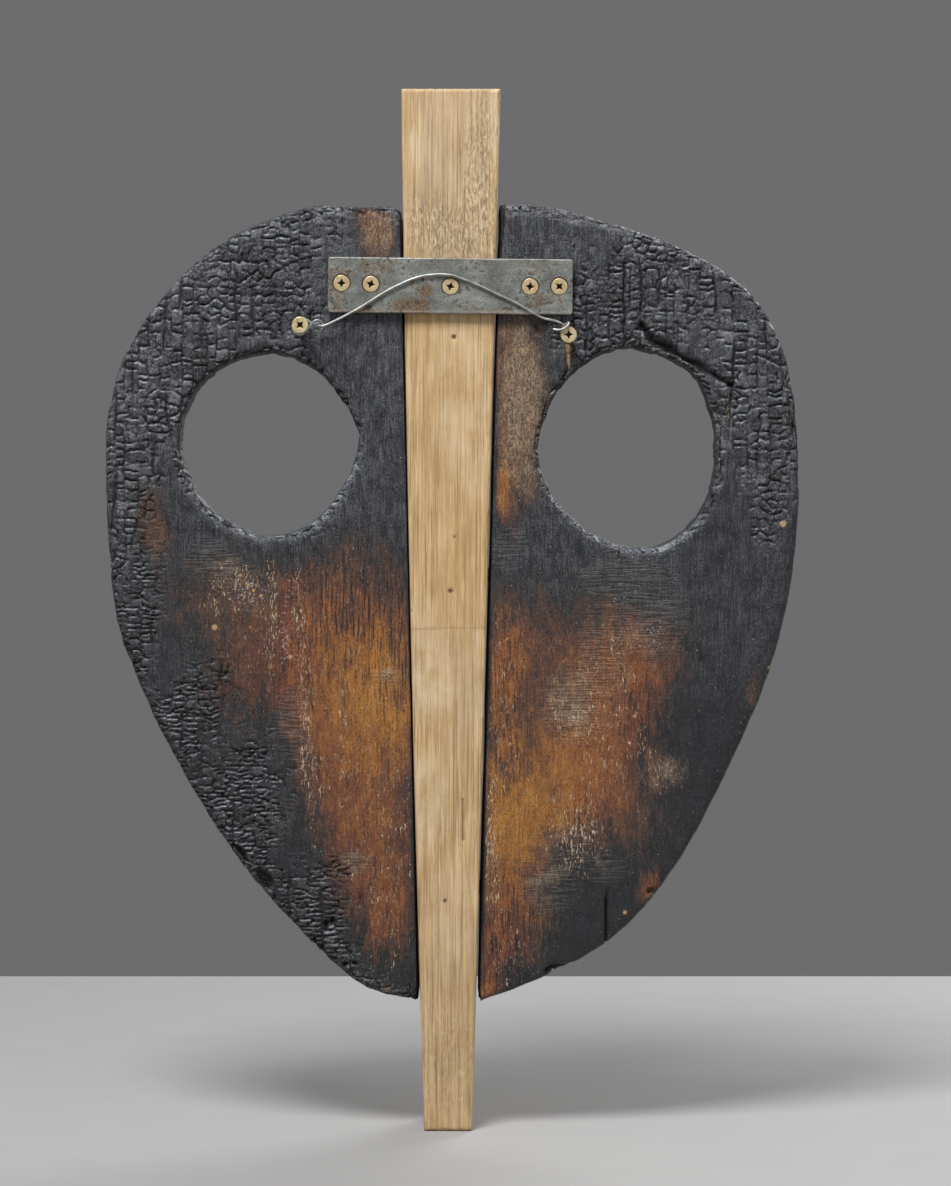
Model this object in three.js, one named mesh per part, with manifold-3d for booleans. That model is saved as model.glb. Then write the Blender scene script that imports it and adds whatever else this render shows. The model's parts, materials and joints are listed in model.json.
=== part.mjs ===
// A wooden mask made of three planks: two charred halves with round eye holes, and a bare tapered
// spine between them that stands proud of the face as the nose. A flat steel mending plate ties the
// three together across the back, dowels keep the seams in line, and a stiff wire hangs the mask
// from two screws left standing proud.
//
// Millimetres. +Z is up, the face looks along +Y, and the back lies in the plane y = BACK.
// The origin is the middle of the spine's foot.

import * as THREE from 'three';
import { mergeVertices } from 'three/addons/utils/BufferGeometryUtils.js';
import Module from 'manifold-3d';

const wasm = await Module();
wasm.setup();

const DEGREE = Math.PI / 180;
const GAP = 0.3;

// Spine: a long batten that tapers from crown to foot, with gently bowed edges.
const SPINE_DEPTH = 40;
const SPINE_HEIGHT = 563;
const SPINE_CROWN = { left: -25.4, right: 28.6 };
const SPINE_FOOT = { left: -13, right: 13.2 };
const SPINE_BOW = { left: 1.3, right: 0.3 };
const SPINE_CHAMFER = 1;

const BACK = -SPINE_DEPTH / 2;

// Planks: flush with the spine at the back, thinner than it at the front.
const PLANK_THICKNESS = 28;
const PLANK_ROUNDING = 3.5;
const PLANK_FRONT = BACK + PLANK_THICKNESS;
const PLANK_MIDDLE = BACK + PLANK_THICKNESS / 2;
const EYE_ROUNDING = 4;

// Each outline runs from the crown, round the outer edge, to the chin, and starts and ends beyond
// the seam, which is cut afterwards.
const LEFT_OUTLINE = [
  [8, 499.5], [-45, 500], [-79, 499], [-127, 478], [-165, 438], [-182, 400], [-186, 360],
  [-181, 283], [-168, 243], [-147, 199], [-114, 146], [-76, 103], [-47, 78], [-18, 69.7], [8, 65],
];
const RIGHT_OUTLINE = [
  [-8, 502], [45, 501], [78, 494], [126, 478], [162, 455], [182, 422], [190, 370], [188, 308],
  [176, 253], [155, 201], [126, 146], [93, 106], [54, 83], [17.3, 69.1], [-8, 62],
];

// The seam side of each plank, from chin to crown, with the radius of the corner at the crown.
const LEFT_SEAM = { points: [[-15.2, 0], [-25.9, 499.5]], corner: 5 };
const RIGHT_SEAM = { points: [[15.5, 0], [26.9, 436], [30.8, 501.5]], corner: 2 };

// Eye holes, sawn by eye: closed curves that are roughly round, with a few flats.
const LEFT_EYE = [
  [-48.8, 376], [-64.6, 402.6], [-79.5, 414.6], [-97.7, 418.9], [-122.5, 411.5], [-138.5, 394.5],
  [-144.4, 370], [-132.4, 342.1], [-114.5, 327.6], [-97.7, 322.3], [-75.5, 328], [-58, 347.9],
];
const RIGHT_EYE = [
  [144.5, 365.6], [141.1, 389.7], [130, 410], [99.7, 422.2], [78, 415.3], [60, 398.5],
  [49.4, 369.1], [58, 342.3], [80.8, 321.7], [107.5, 315.3], [128.2, 325.2], [140, 342.5],
];

// Mending plate: a piece of flat bar with five countersunk holes, drilled by hand a little off line.
const PLATE = { length: 132, width: 30, thickness: 4, corner: 1.5, edge: 0.4 };
const PLATE_MIDDLE = [1.4, 456.2];
const PLATE_TILT = 0.6 * DEGREE;
const PLATE_HOLES = [[-58.7, 0.8], [-42.9, 0.5], [0, -0.4], [42.9, 0], [58.7, 0.2]];
const PLATE_FACE = BACK - GAP - PLATE.thickness;

// Countersunk wood screws. A screw's own origin is the middle of its head's top face.
const SCREW = { headRadius: 4.4, rim: 0.5, coneDepth: 2.7, neckRadius: 1.7, shankRadius: 2, tip: 5 };
const RECESS = { reach: 2.5, waist: 1, depth: 2.2, taper: 0.45 };
const PLATE_SCREW_LENGTH = 25;
const PLATE_SCREW_TURNS = [3, 20, 15, 10, 45];
const HANGER_SCREW_LENGTH = 30;
const HANGER_PROUD = 10.5;
const LEFT_HANGER = { place: [-79.4, 434.9], turn: 45 };
const RIGHT_HANGER = { place: [65, 429.7], turn: 0 };

// Dowels across the seams, two to a side.
const DOWEL = { radius: 4, length: 30, chamfer: 1 };
const DOWEL_HEIGHTS = { lower: 130, upper: 300 };

// Hanging wire: a tail hitched round the left screw, an arch over the plate, and a tail hooked
// over the right screw's head. WIRE_DEPTH is where it lies, just clear of the plate.
const WIRE_RADIUS = 0.65;
const WIRE_SIDES = 8;
const WIRE_STEPS = 80;
const WIRE_DEPTH = -25.5;
const WIRE_LEFT_HITCH = [
  [-69.6, -23.2, 430.9], [-68.2, -23.3, 432.7], [-67.1, -23.9, 435], [-68.3, -26.3, 437],
  [-70.6, -27.3, 437.6], [-73, -27.4, 436], [-74.6, -26.9, 433.6], [-76.6, -26, 431.2],
  [-79.4, -25.5, 430], [-82.3, -25.4, 430.9], [-83.7, -25.4, 433.8], [-82.4, -25.4, 437.2],
  [-79.2, -25.4, 438.8], [-75.8, -25.3, 437.7], [-73.2, -25.3, 436], [-70.6, -25.4, 434.9],
];
const WIRE_ARCH = [
  [-66.9, 434.7], [-61.5, 436.9], [-55.1, 440.1], [-45.4, 445.5], [-36.2, 451.4], [-26.5, 456.6],
  [-16.7, 460.6], [-7, 462.2], [2.2, 461.8], [8.6, 459.6], [16.2, 456.6], [26.5, 451.7],
  [37.3, 446.6], [46.4, 441.2], [51.3, 438.8], [58.9, 436.9],
];
const WIRE_RIGHT_HOOK = [
  [63.4, -25.4, 434.7], [66.6, -25.4, 432.8], [68.3, -25.4, 429.9], [66.9, -25.4, 427.1],
  [64, -25.5, 426.6], [61.8, -25.9, 428.8], [61.6, -26.8, 432], [62.9, -27.8, 434.9],
  [64.7, -29, 436.1], [65.2, -30.6, 435.9], [64.2, -31.5, 434.4], [62.2, -31.6, 432.8],
  [59.6, -31.1, 432.2], [56.7, -30.4, 432.6],
];

const MATERIALS = {
  char: { color: 0x26262a, roughness: 0.55, metalness: 0 },
  spine: { color: 0xc9ab85, roughness: 0.75, metalness: 0 },
  plate: { color: 0x86837c, roughness: 0.6, metalness: 0.7 },
  screw: { color: 0xe0cd96, roughness: 0.35, metalness: 0.9 },
  wire: { color: 0xb8b4ac, roughness: 0.5, metalness: 0.7 },
  dowel: { color: 0xd8b98c, roughness: 0.7, metalness: 0 },
};

// Solids: closed geometries are joined and cut as manifolds.

function solidOf(geometry) {
  const bare = geometry.clone();
  bare.deleteAttribute('normal');
  bare.deleteAttribute('uv');
  const merged = mergeVertices(bare);
  const vertProperties = new Float32Array(merged.attributes.position.array);
  const triVerts = new Uint32Array(merged.index.array);
  return new wasm.Manifold(new wasm.Mesh({ numProp: 3, vertProperties, triVerts }));
}

function geometryOf(solid) {
  const { vertProperties, triVerts } = solid.getMesh();
  const geometry = new THREE.BufferGeometry();
  geometry.setAttribute('position', new THREE.BufferAttribute(vertProperties, 3));
  geometry.setIndex(new THREE.BufferAttribute(triVerts, 1));
  geometry.computeVertexNormals();
  return geometry;
}

function cut(geometry, cutters) {
  const solid = cutters.reduce((rest, cutter) => rest.subtract(solidOf(cutter)), solidOf(geometry));
  return geometryOf(solid);
}

// Outlines are drawn in X and Z. A slab extrudes one along Y, from its back to its front, with its
// edges rounded over by `rounding`. A negative rounding flares both faces out instead.
function slab(shape, back, front, rounding = 0, bevelSegments = 2, curveSegments = 4) {
  const edge = Math.abs(rounding);
  const geometry = new THREE.ExtrudeGeometry(shape, {
    depth: front - back - 2 * edge,
    bevelEnabled: edge > 0,
    bevelThickness: edge,
    bevelSize: rounding,
    bevelOffset: -rounding,
    bevelSegments,
    curveSegments,
  });
  return geometry.rotateX(Math.PI / 2).translate(0, front - edge, 0);
}

// A solid of revolution about Y from [radius, y] pairs, which start and end on the axis.
function turned(profile, segments = 18) {
  return new THREE.LatheGeometry(profile.map(([r, y]) => new THREE.Vector2(r, y)), segments);
}

function vectors(points) {
  return points.map(([x, z]) => new THREE.Vector2(x, z));
}

function outlineShape(points) {
  const [start, ...rest] = vectors(points);
  const shape = new THREE.Shape();
  shape.moveTo(start.x, start.y);
  shape.splineThru(rest);
  shape.closePath();
  return shape;
}

// Everything outwards of a seam. `side` is -1 for the left plank and 1 for the right one.
function seamShape({ points, corner }, side) {
  const far = side * 260;
  const above = SPINE_HEIGHT;
  const [x, z] = points.at(-1);
  const shape = new THREE.Shape();
  shape.moveTo(far, 0);
  points.slice(0, -1).forEach(([px, pz]) => shape.lineTo(px, pz));
  shape.lineTo(x, z - corner);
  shape.quadraticCurveTo(x, z, x + side * corner, z);
  shape.lineTo(x + side * corner, above);
  shape.lineTo(far, above);
  shape.closePath();
  return shape;
}

// A closed smooth curve through an eye's points.
function eyeShape(points) {
  const loop = points.map(([x, z]) => new THREE.Vector3(x, z, 0));
  const curve = new THREE.CatmullRomCurve3(loop, true, 'catmullrom');
  return new THREE.Shape(curve.getPoints(3 * points.length).slice(1).map(({ x, y }) => new THREE.Vector2(x, y)));
}

// A point of the plate, from its middle, as a place on the back of the mask.
function onPlate([along, across]) {
  const x = PLATE_MIDDLE[0] + along * Math.cos(PLATE_TILT) + across * Math.sin(PLATE_TILT);
  const z = PLATE_MIDDLE[1] - along * Math.sin(PLATE_TILT) + across * Math.cos(PLATE_TILT);
  return [x, z];
}

const PLATE_SCREWS = PLATE_HOLES.map((hole, i) => ({
  place: onPlate(hole),
  turn: PLATE_SCREW_TURNS[i],
  top: PLATE_FACE,
  length: PLATE_SCREW_LENGTH,
}));
const HANGERS = [LEFT_HANGER, RIGHT_HANGER].map((hanger) => ({
  ...hanger,
  top: BACK - HANGER_PROUD,
  length: HANGER_SCREW_LENGTH,
}));
const [LEFT_HANGER_SCREW, RIGHT_HANGER_SCREW] = HANGERS;

// The screw's profile, grown by `clear` for the hole that takes it.
function screwProfile(length, clear = 0) {
  const { headRadius, rim, coneDepth, neckRadius, shankRadius, tip } = SCREW;
  const coneEnd = rim + coneDepth;
  return [
    [0, -clear],
    [headRadius + clear, -clear],
    [headRadius + clear, rim],
    [neckRadius + clear, coneEnd],
    [neckRadius + clear, coneEnd + 6],
    [shankRadius + clear, coneEnd + 7],
    [shankRadius + clear, length - tip],
    [0, length + clear],
  ];
}

// The hole left in the wood by a screw's shank, open at the back.
function pilotHole({ place, top, length }) {
  const radius = SCREW.shankRadius + GAP;
  const mouth = BACK - 1;
  const end = top + length;
  const profile = [[0, mouth], [radius, mouth], [radius, end - SCREW.tip], [0, end + 2 * GAP]];
  return turned(profile, 16).translate(place[0], 0, place[1]);
}

// A four-pointed driver recess that narrows towards its floor.
function recess() {
  const shape = new THREE.Shape();
  for (let i = 0; i < 8; i += 1) {
    const radius = i % 2 ? RECESS.waist : RECESS.reach;
    shape.lineTo(radius * Math.cos(i * 45 * DEGREE), radius * Math.sin(i * 45 * DEGREE));
  }
  const geometry = slab(shape, -1, RECESS.depth);
  const position = geometry.attributes.position;
  for (let i = 0; i < position.count; i += 1) {
    const sunk = Math.max(position.getY(i), 0) / RECESS.depth;
    const scale = 1 - (1 - RECESS.taper) * sunk;
    position.setX(i, position.getX(i) * scale);
    position.setZ(i, position.getZ(i) * scale);
  }
  return geometry;
}

const named = (name, geometry, material) => {
  const mesh = new THREE.Mesh(geometry, new THREE.MeshStandardMaterial(MATERIALS[material]));
  mesh.name = name;
  return mesh;
};

function spine() {
  const shape = new THREE.Shape();
  const bowed = (side) => {
    const middle = (SPINE_CROWN[side] + SPINE_FOOT[side]) / 2;
    return middle + 2 * SPINE_BOW[side] * Math.sign(middle);
  };
  shape.moveTo(SPINE_FOOT.left, 0);
  shape.lineTo(SPINE_FOOT.right, 0);
  shape.quadraticCurveTo(bowed('right'), SPINE_HEIGHT / 2, SPINE_CROWN.right, SPINE_HEIGHT);
  shape.lineTo(SPINE_CROWN.left, SPINE_HEIGHT);
  shape.quadraticCurveTo(bowed('left'), SPINE_HEIGHT / 2, SPINE_FOOT.left, 0);
  const blank = slab(shape, BACK, -BACK, SPINE_CHAMFER, 1, 6);
  const dowelHoles = DOWELS.map(dowelHole);
  return named('nose_spine', cut(blank, [...dowelHoles, pilotHole(PLATE_SCREWS[2])]), 'spine');
}

function plank(name, outline, seam, eye, side, screws) {
  const blank = solidOf(slab(outlineShape(outline), BACK, PLANK_FRONT, PLANK_ROUNDING, 2, 3));
  const kept = blank.intersect(solidOf(slab(seamShape(seam, side), BACK - 1, PLANK_FRONT + 1)));
  const eyeHole = slab(eyeShape(eye), BACK - 0.1, PLANK_FRONT + 0.1, -EYE_ROUNDING, 3);
  const dowelHoles = DOWELS.filter((dowel) => dowel.side === side).map(dowelHole);
  const body = cut(geometryOf(kept), [eyeHole, ...dowelHoles, ...screws.map(pilotHole)]);
  return named(name, body, 'char');
}

// Dowels lie along X, half in the spine and half in a plank, centred on the seam.
const DOWELS = [-1, 1].flatMap((side) => Object.entries(DOWEL_HEIGHTS).map(([level, z]) => {
  const crown = side < 0 ? SPINE_CROWN.left : SPINE_CROWN.right;
  const foot = side < 0 ? SPINE_FOOT.left : SPINE_FOOT.right;
  const x = foot + (crown - foot) * (z / SPINE_HEIGHT) + side;
  return { name: `${side < 0 ? 'left' : 'right'}_dowel_${level}`, side, x, z };
}));

function dowelRod(clear) {
  const half = DOWEL.length / 2 + clear;
  const radius = DOWEL.radius + clear;
  const shoulder = half - DOWEL.chamfer;
  const narrow = radius - DOWEL.chamfer;
  const profile = [[0, -half], [narrow, -half], [radius, -shoulder], [radius, shoulder], [narrow, half], [0, half]];
  return turned(profile, 16).rotateZ(-90 * DEGREE);
}

function dowelHole({ x, z }) {
  return dowelRod(GAP).translate(x, PLANK_MIDDLE, z);
}

function dowel({ name, x, z }) {
  const mesh = named(name, dowelRod(0), 'dowel');
  mesh.position.set(x, PLANK_MIDDLE, z);
  return mesh;
}

function mendingPlate() {
  const { length, width, thickness, corner, edge } = PLATE;
  const shape = new THREE.Shape();
  const [x, z] = [length / 2, width / 2];
  shape.absarc(x - corner, z - corner, corner, 0, 90 * DEGREE);
  shape.absarc(corner - x, z - corner, corner, 90 * DEGREE, 180 * DEGREE);
  shape.absarc(corner - x, corner - z, corner, 180 * DEGREE, 270 * DEGREE);
  shape.absarc(x - corner, corner - z, corner, 270 * DEGREE, 360 * DEGREE);
  const bar = slab(shape, 0, thickness, edge, 1);
  const holes = PLATE_HOLES.map(([along, across]) =>
    turned(screwProfile(PLATE_SCREW_LENGTH, GAP)).translate(along, 0, across));
  const mesh = named('mending_plate', cut(bar, holes), 'plate');
  mesh.position.set(PLATE_MIDDLE[0], PLATE_FACE, PLATE_MIDDLE[1]);
  mesh.rotation.y = PLATE_TILT;
  return mesh;
}

function screw(name, { place, turn, top, length }) {
  const mesh = named(name, cut(turned(screwProfile(length)), [recess()]), 'screw');
  mesh.position.set(place[0], top, place[1]);
  mesh.rotation.y = turn * DEGREE;
  return mesh;
}

// Steps along the wire are shared out evenly between its route points, so that the hitches, where
// the points are close together, are stepped finely.
class WirePath extends THREE.CatmullRomCurve3 {
  getPointAt(u, target) {
    return this.getPoint(u, target);
  }

  getTangentAt(u, target) {
    return this.getTangent(u, target);
  }
}

function hangingWire() {
  const arch = WIRE_ARCH.map(([x, z]) => [x, WIRE_DEPTH, z]);
  const route = [...WIRE_LEFT_HITCH, ...arch, ...WIRE_RIGHT_HOOK];
  const path = new WirePath(route.map((point) => new THREE.Vector3(...point)));
  const section = new THREE.Shape();
  section.absarc(0, 0, WIRE_RADIUS, 0, 2 * Math.PI);
  const geometry = new THREE.ExtrudeGeometry(section, {
    steps: WIRE_STEPS,
    curveSegments: WIRE_SIDES / 2,
    extrudePath: path,
  });
  return named('hanging_wire', geometry, 'wire');
}

const mask = new THREE.Group();
mask.add(spine());
mask.add(plank('left_plank', LEFT_OUTLINE, LEFT_SEAM, LEFT_EYE, -1,
  [PLATE_SCREWS[0], PLATE_SCREWS[1], LEFT_HANGER_SCREW]));
mask.add(plank('right_plank', RIGHT_OUTLINE, RIGHT_SEAM, RIGHT_EYE, 1,
  [PLATE_SCREWS[3], PLATE_SCREWS[4], RIGHT_HANGER_SCREW]));
mask.add(mendingPlate());
PLATE_SCREWS.forEach((place, i) => mask.add(screw(`plate_screw_${i + 1}`, place)));
mask.add(screw('left_hanger_screw', LEFT_HANGER_SCREW));
mask.add(screw('right_hanger_screw', RIGHT_HANGER_SCREW));
DOWELS.forEach((place) => mask.add(dowel(place)));
mask.add(hangingWire());

export default mask;
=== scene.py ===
"""A wooden mask seen from behind: two charred planks with eye holes, a bare spine between them, a rusty
steel plate screwed across the three, and a stiff wire on two proud screws.

The frame is in metres, with +Z up and the back facing -Y. Relief and colour zones are worked out in
millimetres, because that is the scale of char and grain."""

import json
import math

import bpy
import numpy as np
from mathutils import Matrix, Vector, kdtree

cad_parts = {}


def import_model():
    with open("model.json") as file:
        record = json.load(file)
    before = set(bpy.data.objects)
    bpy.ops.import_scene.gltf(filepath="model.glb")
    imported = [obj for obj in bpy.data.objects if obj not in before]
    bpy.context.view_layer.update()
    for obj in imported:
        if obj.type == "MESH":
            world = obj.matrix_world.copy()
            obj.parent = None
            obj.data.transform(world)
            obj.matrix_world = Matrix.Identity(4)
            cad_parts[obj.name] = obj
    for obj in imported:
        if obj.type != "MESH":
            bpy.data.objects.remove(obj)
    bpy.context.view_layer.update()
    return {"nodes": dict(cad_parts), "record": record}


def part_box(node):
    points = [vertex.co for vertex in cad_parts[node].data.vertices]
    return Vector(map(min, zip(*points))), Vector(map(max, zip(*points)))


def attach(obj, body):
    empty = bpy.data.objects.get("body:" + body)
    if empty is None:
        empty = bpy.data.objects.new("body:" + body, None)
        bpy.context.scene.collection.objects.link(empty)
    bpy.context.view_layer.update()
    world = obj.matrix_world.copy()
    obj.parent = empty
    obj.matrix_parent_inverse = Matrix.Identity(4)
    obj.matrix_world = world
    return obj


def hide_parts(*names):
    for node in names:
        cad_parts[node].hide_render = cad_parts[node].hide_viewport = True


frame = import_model()

MM = 0.001

# Camera: square to the back, framed on the whole mask.
FRAME_HEIGHT = 0.6404
CAMERA_DISTANCE = 2.0
CAMERA_SHIFT = -0.12
FRAME_CENTRE = (0.0149, 0.2905)
SENSOR = 36
FLOOR_EDGE = 0.57

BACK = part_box("nose_spine")[0].y / MM
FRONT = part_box("left_plank")[1].y / MM


def link(name, data):
    obj = bpy.data.objects.new(name, data)
    bpy.context.scene.collection.objects.link(obj)
    return obj


def camera():
    data = bpy.data.cameras.new("camera")
    data.sensor_width = SENSOR
    data.lens = SENSOR * CAMERA_DISTANCE / FRAME_HEIGHT
    data.shift_y = CAMERA_SHIFT
    obj = link("camera", data)
    x, z = FRAME_CENTRE
    obj.location = (x, BACK * MM - CAMERA_DISTANCE, z - CAMERA_SHIFT * FRAME_HEIGHT)
    obj.rotation_euler = (math.pi / 2, 0, 0)
    bpy.context.scene.camera = obj


camera()

# ---------------------------------------------------------------- hanging wire

WIRE_DIAMETER = 0.0013
# In millimetres: the hitch round the left screw, over the plate, and the hook round the right screw.
WIRE_ROUTE = [
    (-69.6, -23.2, 430.9), (-68.2, -23.3, 432.7), (-67.1, -23.9, 435), (-68.3, -26.3, 437),
    (-70.6, -27.3, 437.6), (-73, -27.4, 436), (-74.6, -26.9, 433.6), (-76.6, -26, 431.2),
    (-79.4, -25.5, 430), (-82.3, -25.4, 430.9), (-83.7, -25.4, 433.8), (-82.4, -25.4, 437.2),
    (-79.2, -25.4, 438.8), (-75.8, -25.3, 437.7), (-73.2, -25.3, 436), (-70.6, -25.4, 434.9),
    (-66.9, -25.5, 434.7), (-61.5, -25.5, 436.9), (-55.1, -25.5, 440.1), (-45.4, -25.5, 445.5),
    (-36.2, -25.5, 451.4), (-26.5, -25.5, 456.6), (-16.7, -25.5, 460.6), (-7, -25.5, 462.2),
    (2.2, -25.5, 461.8), (8.6, -25.5, 459.6), (16.2, -25.5, 456.6), (26.5, -25.5, 451.7),
    (37.3, -25.5, 446.6), (46.4, -25.5, 441.2), (51.3, -25.5, 438.8), (58.9, -25.5, 436.9),
    (63.4, -25.4, 434.7), (66.6, -25.4, 432.8), (68.3, -25.4, 429.9), (66.9, -25.4, 427.1),
    (64, -25.5, 426.6), (61.8, -25.9, 428.8), (61.6, -26.8, 432), (62.9, -27.8, 434.9),
    (64.7, -29, 436.1), (65.2, -30.6, 435.9), (64.2, -31.5, 434.4), (62.2, -31.6, 432.8),
    (59.6, -31.1, 432.2), (56.7, -30.4, 432.6),
]


def catmull_rom(route, per_span):
    """Centripetal Catmull-Rom points through the route, as three.js draws it."""
    ends = np.stack([2 * route[0] - route[1], 2 * route[-1] - route[-2]])
    p = np.concatenate([ends[:1], route, ends[1:]])
    out = []
    for i in range(len(route) - 1):
        p0, p1, p2, p3 = p[i : i + 4]
        d0, d1, d2 = (max(np.linalg.norm(b - a), 1e-9) ** 0.5 for a, b in ((p0, p1), (p1, p2), (p2, p3)))
        t1 = (p1 - p0) / d0 - (p2 - p0) / (d0 + d1) + (p2 - p1) / d1
        t2 = (p2 - p1) / d1 - (p3 - p1) / (d1 + d2) + (p3 - p2) / d2
        t1, t2 = t1 * d1, t2 * d1
        for t in np.arange(per_span) / per_span:
            a, b = 2 * t**3 - 3 * t**2 + 1, t**3 - 2 * t**2 + t
            c, d = 3 * t**2 - 2 * t**3, t**3 - t**2
            out.append(a * p1 + b * t1 + c * p2 + d * t2)
    out.append(route[-1])
    return np.array(out)


def hanging_wire():
    line = catmull_rom(np.array(WIRE_ROUTE) * MM, 8)
    curve = bpy.data.curves.new("stiff_hanging_wire", "CURVE")
    curve.dimensions = "3D"
    curve.bevel_depth = 1.0
    curve.bevel_resolution = 5
    curve.use_fill_caps = True
    spline = curve.splines.new("POLY")
    spline.points.add(len(line) - 1)
    spline.points.foreach_set("co", np.column_stack([line, np.ones(len(line))]).ravel())
    # The wire's thickness is in the points' radius, because a curve's bounds count that radius.
    spline.points.foreach_set("radius", np.full(len(line), WIRE_DIAMETER / 2))
    obj = link("stiff_hanging_wire", curve)
    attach(obj, "wire")
    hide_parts("hanging_wire")
    return obj


wire = hanging_wire()

# ---------------------------------------------------------------- noise and relief, in millimetres


TABLE = np.random.default_rng(5).uniform(-1, 1, 0x10000)
MIX = (0x1E3779B97F4A7C15, 0x3F58476D1CE4E5B9, 0x14D049BB133111EB)


def hashed(seed, *cells):
    """A number from 0 to 1 for each whole-number cell."""
    n = np.full(np.shape(cells[0]), (seed * 2654435761 + 97) & 0xFFFFFFFF, np.uint64)
    for cell in cells:
        n = (n ^ (np.asarray(cell).astype(np.int64).astype(np.uint64) & 0xFFFFFFFF)) * 0x9E3779B1
        n = (n ^ (n >> 15)) & 0xFFFFFFFF
        n = (n * 0x85EBCA6B) & 0xFFFFFFFF
        n = n ^ (n >> 13)
    return (n & 0xFFFFFF) / float(0x1000000)


def noise(p, size, seed, octaves=1):
    """Smooth noise from -1 to 1 at points p, with features of the given size along each axis."""
    total, weight = np.zeros(len(p)), 0.0
    for octave in range(octaves):
        q = p / (np.asarray(size, float) / 2**octave)
        low = np.floor(q)
        f = q - low
        f = f * f * (3 - 2 * f)
        low = low.astype(np.int64) + [7919 * (seed + octave), 0, 0]
        x, y, z = ((low[:, k] * MIX[k], (low[:, k] + 1) * MIX[k]) for k in range(3))
        level = [TABLE[((a ^ b ^ c) >> 24) & 0xFFFF] for a in x for b in y for c in z]
        for k in (2, 1, 0):
            level = [a + (b - a) * f[:, k] for a, b in zip(level[::2], level[1::2])]
        total += level[0] / 2**octave
        weight += 1 / 2**octave
    return total / weight


def smooth(low, high, x):
    """0 below low, 1 above high, and an easy curve between. low may be the larger."""
    t = np.clip((x - low) / (high - low), 0, 1)
    return t * t * (3 - 2 * t)


def warped(p, amount, size, seed):
    """The points, pushed about on the XZ plane by up to that many millimetres."""
    out = p.copy()
    out[:, 0] += amount * noise(p, size, seed, 2)
    out[:, 2] += 2 * amount * noise(p, size, seed + 2, 2)
    return out


def unrolled(p):
    """Points as (across, up). Depth counts as across too, so that cracks carry on round the edge."""
    return p[:, 0] + 0.9 * (p[:, 1] - BACK), p[:, 2]


def cells(p, width, height, seed, jitter=0.7):
    """Cracked plates: (distance to the nearest crack, its strength, place in the plate, plate's number)."""
    across, up = unrolled(warped(warped(p, 0.6, (8, 40, 10), seed), 0.32, (3.2, 9, 3.6), seed + 9))
    i, j = np.floor(across / width).astype(np.int64), np.floor(up / height).astype(np.int64)
    wx, wz = height / width, width / height
    first = np.full((5, len(p)), 1e9)
    second = first.copy()
    for di in (-1, 0, 1):
        for dj in (-1, 0, 1):
            a, b = i + di, j + dj
            x = (a + 0.5 + jitter * (hashed(seed, a, b) - 0.5)) * width - across
            z = (b + 0.5 + jitter * (hashed(seed + 1, a, b) - 0.5)) * height - up
            here = np.stack([wx * x * x + wz * z * z, x, z, a, b])
            nearer = here[0] < first[0]
            second = np.where(nearer, first, np.where(here[0] < second[0], here, second))
            first = np.where(nearer, here, first)
    slope = np.hypot(wx * (second[1] - first[1]), wz * (second[2] - first[2]))
    distance = (second[0] - first[0]) / (2 * slope + 1e-6)
    wall = (first[3] + second[3]).astype(np.int64), (first[4] + second[4]).astype(np.int64)
    plate = first[3].astype(np.int64), first[4].astype(np.int64)
    return distance, smooth(0.1, 0.45, hashed(seed + 2, *wall)), -first[1:3], plate


def bricks(p, width, height, seed):
    """The same, for plates in columns along the grain."""
    across, up = unrolled(warped(warped(p, 0.9, (6, 40, 8), seed), 0.32, (3.2, 9, 3.6), seed + 9))

    def split(place, seed, *column):
        i = np.floor(place).astype(np.int64)
        walls = [k + 0.6 * (hashed(seed, k, *column) - 0.5) for k in (i, i + 1)]
        i = i - (place < walls[0]) + (place >= walls[1])
        low, high = (k + 0.6 * (hashed(seed, k, *column) - 0.5) for k in (i, i + 1))
        return i, place - low, high - place

    i, left, right = split(across / width, seed + 3)
    own = height * (0.6 + 0.9 * hashed(seed + 4, i))
    j, below, above = split(up / own + 9.7 * hashed(seed + 5, i), seed + 6, i)
    column, row = i + (right < left), j + (above < below)
    to_side, to_end = np.minimum(left, right) * width, np.minimum(below, above) * own
    side_strength = smooth(-0.6, 0.1, noise(np.stack([column * 7.0, 0 * up, up], 1), (5, 1, 15), seed + 7))
    end_strength = smooth(0.15, 0.5, hashed(seed + 8, row, i))
    by_side = to_side < to_end
    place = np.stack([(left - right) * width, (below - above) * own]) / 2
    return np.where(by_side, to_side, to_end), np.where(by_side, side_strength, end_strength), place, (i, j)


def long_cracks(p, spacing, seed):
    """Wandering cracks along the grain: (distance to the nearest, its strength here)."""
    flat = p * [1, 0, 1]
    across, _ = unrolled(p)
    s = (across + 2.6 * noise(flat, (30, 1, 60), seed) + 0.9 * noise(flat, (5, 1, 9), seed + 1)) / spacing
    near = np.round(s - 0.3 * (hashed(seed + 2, np.round(s)) - 0.5)).astype(np.int64)
    distance = np.abs(s - near - 0.3 * (hashed(seed + 2, near) - 0.5)) * spacing
    reach = noise(np.stack([near * 7.0, np.zeros(len(p)), p[:, 2]], 1), (5, 1, 24), seed + 4)
    return distance, smooth(0.0, 0.45, reach)


def groove(distance, strength, line, depth, shoulder):
    """(drop, painted shade) of a crack with slightly rounded lips. The darkness is shade painted into the
    crack.
    """
    inside = np.exp(-((distance / line) ** 2)) * strength
    return depth * inside + 0.2 * depth * np.exp(-distance / shoulder) * strength, inside


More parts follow.
